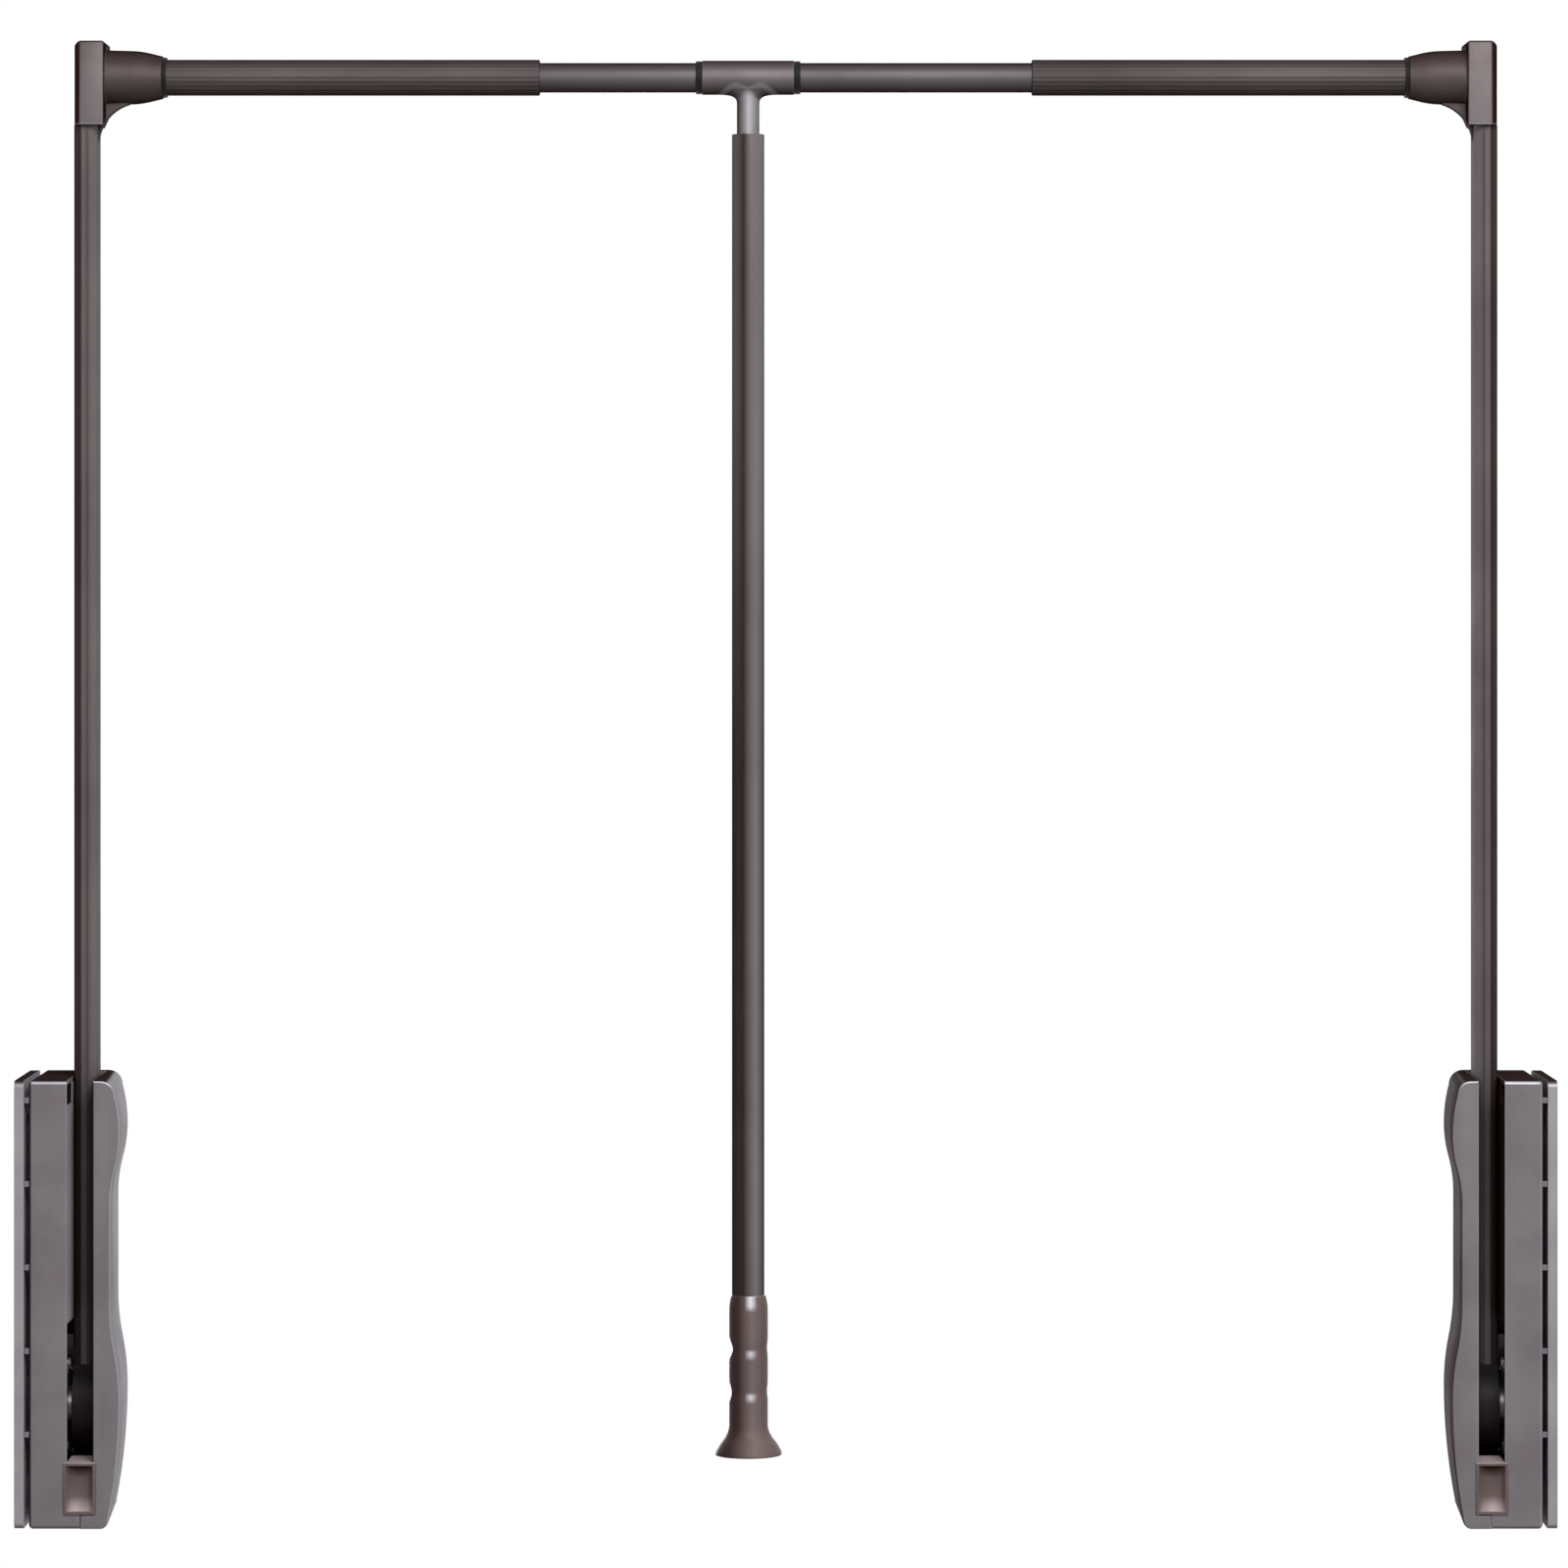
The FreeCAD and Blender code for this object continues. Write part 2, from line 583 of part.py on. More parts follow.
def make_chassis():
    """The cast channel between the two covers, which carries the axle."""
    body = new_body("left_chassis", HOUSING_FRAME)
    block = rectangle(minus(INSIDE), CASE_FLOOR, INSIDE, CASE_ROOF)
    pad(body, "YZ_Plane", CHEEK_LEFT, CHEEK_RIGHT, block)
    channel = rectangle("-dims.case_depth", "dims.slot_floor", "dims.web_place",
                        "2 * dims.case_height")
    behind = rectangle(WEB_BACK, "dims.slot_floor", "dims.case_depth",
                       "2 * dims.case_height")
    pocket(body, "YZ_Plane", SLOT_LEFT, SLOT_RIGHT, channel)
    pocket(body, "YZ_Plane", SLOT_LEFT, SLOT_RIGHT, behind)
    window = rectangle("-dims.case_depth", "dims.pivot_height - dims.window_below",
                       "dims.window_rear", "dims.pivot_height + dims.window_above")
    notch = rectangle("-dims.case_depth", BUFFER_HIGH, minus("dims.window_rear"),
                      "2 * dims.case_height")
    pocket(body, "YZ_Plane", CHEEK_LEFT, SLOT_LEFT, window, notch)
    spacers = clamp_circles("dims.clamp_boss / 2")[1:]
    pad(body, "YZ_Plane", SLOT_LEFT, SLOT_RIGHT, *spacers)
    pocket(body, "YZ_Plane", CHEEK_LEFT, CHEEK_RIGHT, *clamp_circles("dims.clamp_screw / 2"))
    pocket(body, "YZ_Plane", SLOT_RIGHT, CHEEK_RIGHT,
           ("0", "dims.pivot_height", AXLE_RADIUS))
    return body


def wave(shift):
    """The inner cover's outline from its foot to its top: two bulges, a straight
    waist between them, and rounded corners, moved towards the wall by shift."""
    def across(name):
        return "%s + dims.%s - %s" % (CHEEK_RIGHT, name, shift)

    def swell(low, high, names):
        rise = "(%s - %s)" % (high, low)
        reach = "(dims.%s - dims.%s)" % names
        return rise, reach

    corner = "dims.cover_corner"
    crown = "dims.crown_corner"
    top = "dims.case_height"
    high = "%s - %s" % (top, crown)
    middle = "%s + (dims.bulge + dims.waist) / 2 - %s" % (CHEEK_RIGHT, shift)
    bulge_high = "(dims.case_height - dims.bulge_inset)"
    foot_arc = "((%s)^2 + (%s)^2) / (2 * %s)"
    rise, reach = swell("dims.bulge_low", corner, ("bulge", "cover_foot"))
    foot_radius = foot_arc % (rise, reach, reach)
    rise, reach = swell("dims.bulge_low", "dims.waist_low", ("bulge", "waist"))
    low_radius = "((%s)^2 + (%s)^2) / (4 * %s)" % (rise, reach, reach)
    rise, reach = swell("dims.waist_high", bulge_high, ("bulge", "waist"))
    high_radius = "((%s)^2 + (%s)^2) / (4 * %s)" % (rise, reach, reach)
    rise, reach = swell(bulge_high, "(%s)" % high, ("bulge", "cover_top"))
    top_radius = foot_arc % (rise, reach, reach)
    low_middle = "(dims.bulge_low + dims.waist_low) / 2"
    high_middle = "(%s + dims.waist_high) / 2" % bulge_high
    return (
        ("dims.slot_place", "0"),
        ("%s - %s" % (across("cover_foot"), corner), "0", corner, 1),
        (across("cover_foot"), corner, foot_radius, 1),
        (across("bulge"), "dims.bulge_low", low_radius, 1),
        (middle, low_middle, low_radius, -1),
        (across("waist"), "dims.waist_low"),
        (across("waist"), "dims.waist_high", high_radius, -1),
        (middle, high_middle, high_radius, 1),
        (across("bulge"), bulge_high, top_radius, 1),
        (across("cover_top"), high, crown, 1),
        ("%s - %s" % (across("cover_top"), crown), top),
        ("dims.slot_place", top),
    )


def make_inner_case():
    body = new_body("left_inner_case", HOUSING_FRAME)
    front = new_sketch(body, "XZ_Plane", HALF_CASE)
    outline(front, wave("0"))
    back = new_sketch(body, "XZ_Plane", minus(HALF_CASE))
    outline(back, wave("dims.cover_taper"))
    DOC.recompute()
    loft = body.newObject("PartDesign::AdditiveLoft", "left_inner_case_loft")
    loft.Profile = front
    loft.Sections = [(back, [""])]
    loft.Ruled = True
    DOC.recompute()
    hollow = rectangle(minus(INSIDE), CASE_FLOOR, INSIDE, CASE_ROOF)
    pocket(body, "YZ_Plane", "dims.slot_place", CHEEK_RIGHT, hollow)
    front = rectangle("-dims.case_depth", "dims.slot_floor", minus(INSIDE),
                      "2 * dims.case_height")
    roof = rectangle("-dims.case_depth", CASE_ROOF, WEB_BACK, "2 * dims.case_height")
    pocket(body, "YZ_Plane", "dims.slot_place", SLOT_RIGHT, front)
    pocket(body, "YZ_Plane", "dims.slot_place", SLOT_RIGHT, roof)
    pocket(body, "YZ_Plane", CHEEK_RIGHT, AXLE_END,
           ("0", "dims.pivot_height", AXLE_RADIUS), *clamp_circles("dims.clamp_screw / 2"))
    return body


def make_case_screws():
    screws = []
    for y, z in CLAMP_POINTS:
        head = cylinder("dims.clamp_head / 2", HOUSING_FRAME, CASE_LEFT,
                        "dims.clamp_head_height", y, z)
        start = "%s + dims.clamp_head_height" % CASE_LEFT
        shank = cylinder("dims.clamp_screw / 2", HOUSING_FRAME, start,
                         "%s - (%s)" % (AXLE_END, start), y, z)
        screw = DOC.addObject("Part::MultiFuse", "left_case_screw")
        screw.Shapes = [head, shank]
        screws.append(screw)
    return group("left_case_screws", screws)


def make_stop_block():
    body = new_body("left_stop_block", HOUSING_FRAME)
    root = rectangle(minus(HALF_CASE), "dims.slot_floor",
                     "dims.stop_depth - %s" % HALF_CASE, STOP_HIGH)
    pad(body, "YZ_Plane", SLOT_LEFT, SLOT_RIGHT, root)
    lip = rectangle("-%s - dims.stop_lip" % HALF_CASE, "dims.slot_floor",
                    minus(HALF_CASE), STOP_HIGH)
    pad(body, "YZ_Plane", "dims.slot_place - dims.stop_lip_width / 2",
        "dims.slot_place + dims.stop_lip_width / 2", lip)
    soften(body, "PartDesign::Fillet", "dims.stop_lip / 2",
           lambda edge: near(edge.BoundBox.YMax, "-%s - dims.stop_lip" % HALF_CASE))
    pocket(body, "YZ_Plane", SLOT_LEFT, SLOT_RIGHT, clamp_circles("dims.clamp_screw / 2")[0])
    return body


def make_rest_buffer():
    body = new_body("left_rest_buffer", HOUSING_FRAME)
    face = "%s + dims.gap" % ARM_HALF_DEPTH
    side = rectangle(face, BUFFER_LOW, "dims.web_place", BUFFER_HIGH)
    pad(body, "YZ_Plane", KNUCKLE_LEFT, KNUCKLE_RIGHT, side)
    soften(body, "PartDesign::Fillet", "dims.case_edge",
           lambda edge: near(edge.BoundBox.YMax, face))
    return body


def make_axle():
    body = new_body("left_swing_axle", AXLE_FRAME)
    inner = "%s - dims.axle_bevel" % AXLE_RADIUS
    turned(body, "H_Axis", (
        (AXLE_START, "0"), (AXLE_END, "0"), (AXLE_END, inner),
        ("%s - dims.axle_bevel" % AXLE_END, AXLE_RADIUS),
        ("%s + dims.axle_bevel" % AXLE_START, AXLE_RADIUS), (AXLE_START, inner)))
    return body


def make_thrust_washer():
    body = new_body("left_thrust_washer", AXLE_FRAME)
    start = "%s + (dims.knuckle_side_gap - dims.washer_thickness) / 2" % KNUCKLE_RIGHT
    finish = "%s + dims.washer_thickness" % start
    turned(body, "H_Axis", rectangle(start, AXLE_BORE, finish, "dims.washer_radius"))
    return body


# ---------------------------------------------- gas spring, rack and drive gear
def make_gas_cylinder():
    body = new_body("left_gas_cylinder", (GAS_X, HOUSING_FRAME[1]), GAS_Y)
    bore = "%s - dims.gas_wall" % GAS_RADIUS
    rod_hole = "%s + dims.running_fit" % GAS_ROD
    gland = "%s + dims.gas_gland" % GAS_LOW
    cap = "%s - dims.gas_gland" % GAS_HIGH
    stud_top = "%s + dims.stud_length" % GAS_HIGH
    turned(body, "V_Axis", (
        (rod_hole, GAS_LOW), (GAS_RADIUS, GAS_LOW), (GAS_RADIUS, GAS_HIGH),
        (GAS_ROD, GAS_HIGH), (GAS_ROD, stud_top), ("0", stud_top), ("0", cap),
        (bore, cap), (bore, gland), (rod_hole, gland)))
    return body


def make_gas_piston_rod():
    body = new_body("left_gas_piston_rod", (GAS_X, HOUSING_FRAME[1]), GAS_Y)
    piston = "%s - dims.gas_wall - dims.running_fit" % GAS_RADIUS
    foot = "%s - dims.gas_rod_seat" % YOKE_HIGH
    low = "%s + dims.gas_gland + dims.gap" % GAS_LOW
    high = "%s + dims.piston_height" % low
    turned(body, "V_Axis", (
        ("0", foot), (GAS_ROD, foot), (GAS_ROD, low), (piston, low), (piston, high),
        ("0", high)))
    return body


def make_rack():
    """The rack behind the gear, with the yoke that the gas spring's rod screws
    into. Its teeth mesh with the gear's on the line at the pitch radius."""
    body = new_body("left_rack", HOUSING_FRAME)
    tip = "(%s - dims.rack_addendum)" % PITCH_RADIUS
    slope = "tan(dims.pressure_angle)"
    pitch_half = "(pi * dims.gear_module / 4 - dims.gear_backlash / 2)"
    root_half = "(%s + (%s - %s) * %s)" % (pitch_half, RACK_ROOT, PITCH_RADIUS, slope)
    tip_half = "(%s - (%s - %s) * %s)" % (pitch_half, PITCH_RADIUS, tip, slope)
    pitch = "(pi * dims.gear_module)"
    below = int(size("dims.rack_below / %s" % pitch) - 0.5)
    above = int(size("dims.rack_above / %s" % pitch))
    first = "(dims.pivot_height - %d * %s)" % (below, pitch)
    bar = rectangle(RACK_ROOT, "dims.pivot_height - dims.rack_below", RACK_BACK, YOKE_HIGH)
    pad(body, "YZ_Plane", GEAR_LEFT, GEAR_RIGHT, bar)
    tooth = ((RACK_ROOT, "%s - %s" % (first, root_half)),
             (RACK_ROOT, "%s + %s" % (first, root_half)),
             (tip, "%s + %s" % (first, tip_half)), (tip, "%s - %s" % (first, tip_half)))
    feature = pad(body, "YZ_Plane", GEAR_LEFT, GEAR_RIGHT, tooth)
    rows = body.newObject("PartDesign::LinearPattern", "left_rack_teeth")
    rows.Originals = [feature]
    rows.Direction = (feature.Profile[0], ["V_Axis"])
    rows.setExpression("Length", "%d * %s" % (below + above, pitch))
    rows.Occurrences = below + above + 1
    body.Tip = rows
    DOC.recompute()
    yoke = rectangle("%s - dims.yoke_reach" % GAS_Y, YOKE_LOW, RACK_BACK, YOKE_HIGH)
    pad(body, "YZ_Plane", "%s - dims.gas_rod" % GAS_X, GEAR_RIGHT, yoke)
    pocket(body, "XY_Plane", "%s - dims.gas_rod_seat" % YOKE_HIGH, YOKE_HIGH,
           (GAS_X, GAS_Y, GAS_ROD))
    return body


def involute(angle):
    return math.tan(angle) - angle


def gear_outline():
    """Involute teeth round the swing axle, a tooth space towards the rack. Each
    flank is the arc through three points of the involute."""
    teeth = round(size("dims.gear_teeth"))
    pitch = size(PITCH_RADIUS)
    pressure = math.radians(size("dims.pressure_angle"))
    base = pitch * math.cos(pressure)
    tip = pitch + size("dims.gear_module")
    root = pitch - size("dims.rack_addendum") - size("dims.root_clearance")
    half_pitch = math.pi / (2 * teeth) - size("dims.gear_backlash") / (2 * pitch)

    def point(radius, angle):
        return FreeCAD.Vector(0, radius * math.cos(angle), radius * math.sin(angle))

    def half_angle(radius):
        return half_pitch + involute(pressure) - involute(math.acos(base / radius))

    radii = (base, (base + tip) / 2, tip)
    edges = []
    for tooth in range(teeth):
        middle = (tooth + 0.5) * 2 * math.pi / teeth
        rising = [point(r, middle - half_angle(r)) for r in radii]
        falling = [point(r, middle + half_angle(r)) for r in reversed(radii)]
        foot = half_angle(base)
        start = point(root, middle - foot)
        finish = point(root, middle + foot)
        following = point(root, middle + 2 * math.pi / teeth - foot)
        valley = point(root, middle + math.pi / teeth)
        edges.append(Part.LineSegment(start, rising[0]).toShape())
        edges.append(Part.Arc(*rising).toShape())
        crown = Part.Arc(rising[-1], point(tip, middle), falling[0])
        edges.append(crown.toShape())
        edges.append(Part.Arc(*falling).toShape())
        edges.append(Part.LineSegment(falling[-1], finish).toShape())
        edges.append(Part.Arc(finish, valley, following).toShape())
    return Part.Wire(Part.__sortEdges__(edges))


def disc(radius, start, finish, y=0.0):
    """A plain cylinder along X between two places."""
    base = FreeCAD.Vector(size(start), y, 0)
    return Part.makeCylinder(size(radius), size("(%s) - (%s)" % (finish, start)), base,
                             FreeCAD.Vector(1, 0, 0))


def make_drive_gear():
    wire = gear_outline()
    blank = Part.Face(wire).extrude(FreeCAD.Vector(size("dims.gear_face"), 0, 0))
    blank.translate(FreeCAD.Vector(size(GEAR_LEFT), 0, 0))
    solid = blank.fuse(disc(GEAR_HUB, GEAR_RIGHT, KNUCKLE_LEFT))
    solid = solid.cut(disc(BUSH_RADIUS, GEAR_LEFT, KNUCKLE_LEFT))
    for side in (1, -1):
        place_of_dowel = side * size(DOWEL_PLACE)
        solid = solid.cut(disc(DOWEL_RADIUS, GEAR_LEFT, KNUCKLE_LEFT, place_of_dowel))
    gear = DOC.addObject("Part::Feature", "left_drive_gear")
    gear.Label = "left_drive_gear"
    gear.Shape = solid.removeSplitter()
    place(gear, AXLE_FRAME)
    return gear


def make_gear_dowels():
    start = "%s + dims.gap" % GEAR_LEFT
    length = "%s + %s - (%s)" % (KNUCKLE_LEFT, ARM_HALF_WIDTH, start)
    pins = [cylinder(DOWEL_RADIUS, AXLE_FRAME, start, length, side + DOWEL_PLACE)
            for side in ("", "-")]
    return group("left_gear_dowels", pins)


def make_pivot_bush():
    body = new_body("left_pivot_bush", AXLE_FRAME)
    turned(body, "H_Axis", rectangle(GEAR_LEFT, AXLE_BORE, KNUCKLE_RIGHT, BUSH_RADIUS))
    return body


# ----------------------------------------------------------------- swinging arm
def tenon_outline(middle):
    fit = "(dims.arm_wall + dims.tenon_fit)"
    return stadium(middle, "(%s - %s)" % (ARM_HALF_WIDTH, fit),
                   "(%s - %s)" % (ARM_HALF_DEPTH, fit))


def make_knuckle():
    body = new_body("left_arm_knuckle", AXLE_FRAME)
    half = ARM_HALF_DEPTH
    meeting = "sqrt(%s^2 - %s^2)" % (KNUCKLE_RADIUS, half)
    side = ((minus(half), "dims.knuckle_neck"), (minus(half), meeting, KNUCKLE_RADIUS, 2),
            (half, meeting), (half, "dims.knuckle_neck"))
    pad(body, "YZ_Plane", KNUCKLE_LEFT, KNUCKLE_RIGHT, side)
    pad(body, "XY_Plane", "dims.knuckle_neck", "dims.knuckle_neck + dims.tenon_length",
        tenon_outline("dims.slot_place"))
    pocket(body, "YZ_Plane", KNUCKLE_LEFT, KNUCKLE_RIGHT, ("0", "0", BUSH_RADIUS))
    pins = [(sign + DOWEL_PLACE, "0", DOWEL_RADIUS) for sign in ("", "-")]
    pocket(body, "YZ_Plane", KNUCKLE_LEFT, "%s + %s" % (KNUCKLE_LEFT, ARM_HALF_WIDTH), *pins)
    grub = ("dims.slot_place", "dims.knuckle_neck + dims.tenon_length / 2", GRUB_RADIUS)
    pocket(body, "XZ_Plane", GRUB_START, half, grub)
    return body


def make_arm_tube():
    body = new_body("left_arm_tube", HOUSING_FRAME)
    outer = stadium("dims.slot_place", ARM_HALF_WIDTH, ARM_HALF_DEPTH)
    inner = stadium("dims.slot_place", "(%s - dims.arm_wall)" % ARM_HALF_WIDTH,
                    "(%s - dims.arm_wall)" % ARM_HALF_DEPTH)
    pad(body, "XY_Plane", TUBE_LOW, TUBE_HIGH, outer)
    pocket(body, "XY_Plane", TUBE_LOW, TUBE_HIGH, inner)
    left = "dims.slot_place - dims.arm_groove / 2"
    right = "dims.slot_place + dims.arm_groove / 2"
    floor = "(%s - dims.arm_groove_depth)" % ARM_HALF_DEPTH
    front = rectangle(left, "-dims.arm_depth", right, minus(floor))
    back = rectangle(left, floor, right, "dims.arm_depth")
    pocket(body, "XY_Plane", TUBE_LOW, TUBE_HIGH, front, back)
    grubs = [("dims.slot_place", height, GRUB_RADIUS) for height in arm_screw_heights()]
    pocket(body, "XZ_Plane", GRUB_START, ARM_HALF_DEPTH, *grubs)
    return body


def arm_screw_heights():
    return ("%s + dims.tenon_length / 2" % TUBE_LOW, "%s - dims.tenon_length / 2" % TUBE_HIGH)


def make_arm_screws():
    grubs = [cylinder(GRUB_RADIUS, HOUSING_FRAME, "dims.slot_place", "dims.grub_length",
                      "%s - dims.gap" % ARM_HALF_DEPTH, height, "y")
             for height in arm_screw_heights()]
    rod_screw = cylinder(GRUB_RADIUS, BAR_FRAME, ROD_SCREW_PLACE, "dims.grub_length",
                         "%s + dims.grub_length" % ROD_BORE, "0", "y")
    return group("left_arm_screws", grubs + [rod_screw])


def outer_bracket_edge(edge):
    upright_or_top = runs_along(edge, "z") or near(edge.BoundBox.ZMin, BRACKET_TOP)
    return upright_or_top and near(edge.BoundBox.XMax, BRACKET_LEFT)


def other_bracket_edge(edge):
    box = edge.BoundBox
    on_inner_side = near(box.XMin, SOCKET_START) and not near(box.ZMax, BRACKET_FOOT)
    return on_inner_side or (runs_along(edge, "x") and near(box.ZMin, BRACKET_TOP))


def make_corner_bracket():
    """The casting that joins arm and bar: a box over the arm, a tapering socket
    for the rod, a curved gusset under it and a tenon down the arm tube."""
    body = new_body("left_corner_bracket", BAR_FRAME)
    low = minus("dims.bracket_below")
    box = rectangle(BRACKET_LEFT, low, SOCKET_START, "dims.bracket_above")
    pad(body, "XZ_Plane", minus(BRACKET_HALF_DEPTH), BRACKET_HALF_DEPTH, box)
    soften(body, "PartDesign::Fillet", "dims.bracket_edge", outer_bracket_edge)
    soften(body, "PartDesign::Fillet", "dims.bracket_bevel", other_bracket_edge)
    mouth = "(%s + dims.socket_wall)" % ROD_BORE
    root = "(%s + dims.socket_swell)" % mouth
    buried = "%s - dims.bracket_bevel" % SOCKET_START
    turned(body, "H_Axis", (
        (buried, "0"), (SOCKET_END, "0"), (SOCKET_END, mouth),
        ("%s - dims.socket_length / 3" % SOCKET_END, "%s + dims.socket_waist" % mouth),
        ("%s + dims.socket_blend" % SOCKET_START, root),
        (SOCKET_START, "%s + dims.socket_blend" % root),
        (buried, "%s + dims.socket_blend" % root)))
    arm_side = "dims.slot_place + %s" % ARM_HALF_WIDTH
    tip = "%s + dims.gusset_reach" % SOCKET_START
    gusset = ((arm_side, "-dims.gusset_foot", "dims.gusset_arc", -1), (tip, minus(root)),
              (tip, "0"), ("dims.slot_place", "0"), ("dims.slot_place", low),
              (arm_side, low))
    pad(body, "XZ_Plane", "-dims.gusset_thickness / 2", "dims.gusset_thickness / 2", gusset)
    relief = (("%s - dims.relief_width" % SOCKET_START, low, "dims.gusset_arc", -1),
              (SOCKET_START, "%s + dims.relief_height" % low), (SOCKET_START, low))
    pocket(body, "XZ_Plane", "dims.gusset_thickness / 2", BRACKET_HALF_DEPTH, relief)
    pad(body, "XY_Plane", "%s - dims.tenon_length" % low, low,
        tenon_outline("dims.slot_place"))
    pocket(body, "YZ_Plane", ROD_START, SOCKET_END, ("0", "0", ROD_BORE))
    pocket(body, "XZ_Plane", GRUB_START, ARM_HALF_DEPTH,
           ("dims.slot_place", "%s - dims.tenon_length / 2" % low, GRUB_RADIUS))
    pocket(body, "XZ_Plane", "0", BRACKET_HALF_DEPTH, (ROD_SCREW_PLACE, "0", GRUB_RADIUS))
    return body


def make_rod_collar():
    body = new_body("left_rod_collar", BAR_FRAME)
    turned(body, "H_Axis", rectangle(SOCKET_END, ROD_BORE,
                                     "%s + dims.collar_length" % SOCKET_END,
                                     "%s + dims.collar_wall" % ROD_BORE))
    return body


def make_outer_rod():
    body = new_body("left_outer_rod", BAR_FRAME)
    pad(body, "YZ_Plane", ROD_START, "dims.outer_rod_end", ("0", "0", ROD_RADIUS))
    pocket(body, "YZ_Plane", ROD_START, "dims.outer_rod_end", ("0", "0", TUBE_BORE))
    centre = "%s + dims.flute_radius - dims.flute_depth" % ROD_RADIUS
    flute = pocket(body, "YZ_Plane", "%s + dims.collar_length" % SOCKET_END,
                   "dims.outer_rod_end", ("0", centre, "dims.flute_radius"))
    ring = body.newObject("PartDesign::PolarPattern", "left_outer_rod_flutes")
    ring.Originals = [flute]
    ring.Axis = (flute.Profile[0], ["N_Axis"])
    ring.Angle = 360
    ring.setExpression("Occurrences", "dims.flute_count")
    body.Tip = ring
    DOC.recompute()
    return body


# ------------------------------------------- inner tube, tee, pull rod and grip
def make_inner_tube():
    body = new_body("centre_inner_tube", ("dims.width / 2", BAR_FRAME[1]))
    bore = "dims.inner_tube_radius - dims.inner_tube_wall"
    turned(body, "H_Axis", rectangle("-dims.inner_tube_length / 2", bore,
                                     "dims.inner_tube_length / 2",
                                     "dims.inner_tube_radius"))
    return body


def make_tee_rings():
    rings = []
    for start in ("dims.pull_rod_place - dims.tee_length / 2 - dims.tee_ring_length",
                  "dims.pull_rod_place + dims.tee_length / 2"):
        outer = cylinder("dims.inner_tube_radius + dims.tee_ring_wall", BAR_FRAME, start,
                         "dims.tee_ring_length")
        inner = cylinder("dims.inner_tube_radius", BAR_FRAME, start, "dims.tee_ring_length")
        ring = DOC.addObject("Part::Cut", "tee_ring")
        ring.Base = outer
        ring.Tool = inner
        rings.append(ring)
    return group("tee_rings", rings)


def make_tee():
    """The barrel that turns on the inner tube, with the flared neck and the
    tenon that carry the pull rod."""
    body = new_body("tee", PULL_FRAME)
    half = "dims.tee_length / 2 - dims.running_fit"
    shoulder = "-%s - dims.neck_flare_length" % TEE_RADIUS
    foot = "-dims.neck_low - dims.neck_tenon"
    pad(body, "YZ_Plane", minus(half), half, ("0", "0", TEE_RADIUS))
    wide = "dims.neck_radius + dims.neck_flare"
    tenon = "%s - dims.running_fit" % PULL_BORE
    turned(body, "V_Axis", (
        ("0", foot), (tenon, foot), (tenon, "-dims.neck_low"),
        ("dims.neck_radius", "-dims.neck_low"), ("dims.neck_radius", shoulder),
        ("dims.neck_radius + dims.neck_flare / 3",
         "%s + dims.neck_flare_length / 2" % shoulder),
        (wide, minus(TEE_RADIUS)), (wide, "-%s / 2" % TEE_RADIUS),
        ("0", "-%s / 2" % TEE_RADIUS)))
    pocket(body, "YZ_Plane", minus(half), half, ("0", "0", TUBE_BORE))
    pocket(body, "XZ_Plane", "0", "dims.pull_rod_radius", ("0", TEE_SCREW_HEIGHT, GRUB_RADIUS))
    return body


def make_tee_screw():
    item = cylinder(GRUB_RADIUS, BAR_FRAME, "dims.pull_rod_place", "dims.grub_length",
                    "dims.pull_rod_radius - dims.gap", TEE_SCREW_HEIGHT, "y")
    item.Label = "tee_screw"
    return item


def make_pull_rod():
    body = new_body("pull_rod", PULL_FRAME)
    low = "-dims.grip_top - dims.grip_seat"
    pad(body, "XY_Plane", low, "-dims.neck_low", ("0", "0", "dims.pull_rod_radius"))
    pocket(body, "XY_Plane", low, "-dims.neck_low", ("0", "0", PULL_BORE))
    pocket(body, "XZ_Plane", "0", "dims.pull_rod_radius", ("0", TEE_SCREW_HEIGHT, GRUB_RADIUS))
    return body


def make_grip():
    body = new_body("grip", PULL_FRAME)
    bottom = "-dims.grip_top - dims.grip_length"
    shoulder = "%s + dims.foot_height" % bottom
    flare = [("%s + dims.foot_flare * %s" % (GRIP_RADIUS, spread),
              "%s + dims.foot_height * %s" % (bottom, rise)) for rise, spread in FOOT_CURVE]
    turned(body, "V_Axis", (
        ("0", bottom), ("%s - dims.foot_edge" % FOOT_RADIUS, bottom),
        (FOOT_RADIUS, "%s + dims.foot_edge" % bottom), *flare,
        (GRIP_RADIUS, shoulder), (GRIP_RADIUS, "-dims.grip_top - dims.grip_taper_length"),
        ("%s - dims.grip_taper" % GRIP_RADIUS, "-dims.grip_top"), ("0", "-dims.grip_top")))
    pocket(body, "XY_Plane", "-dims.grip_top - dims.grip_seat", "-dims.grip_top",
           ("0", "0", "dims.pull_rod_radius"))
    centre = "-%s - dims.notch_arc + dims.notch_depth" % GRIP_RADIUS
    notches = []
    for step in range(2):
        height = "-dims.grip_top - dims.notch_first - %d * dims.notch_pitch" % step
        notches.append((centre, height, "dims.notch_arc"))
    pocket(body, "XZ_Plane", minus(FOOT_RADIUS), FOOT_RADIUS, *notches)
    return body


# -------------------------------------------------------- the whole, both sides
def mirrored(piece):
    """The right-hand twin of a left-hand piece, across the middle of the width."""
    label = piece.Label.replace("left_", "right_", 1)
    twin = DOC.addObject("Part::Mirroring", label)
    twin.Label = label
    twin.Source = piece
    twin.Normal = FreeCAD.Vector(1, 0, 0)
    twin.setExpression("Base.x", "dims.width / 2")
    return twin


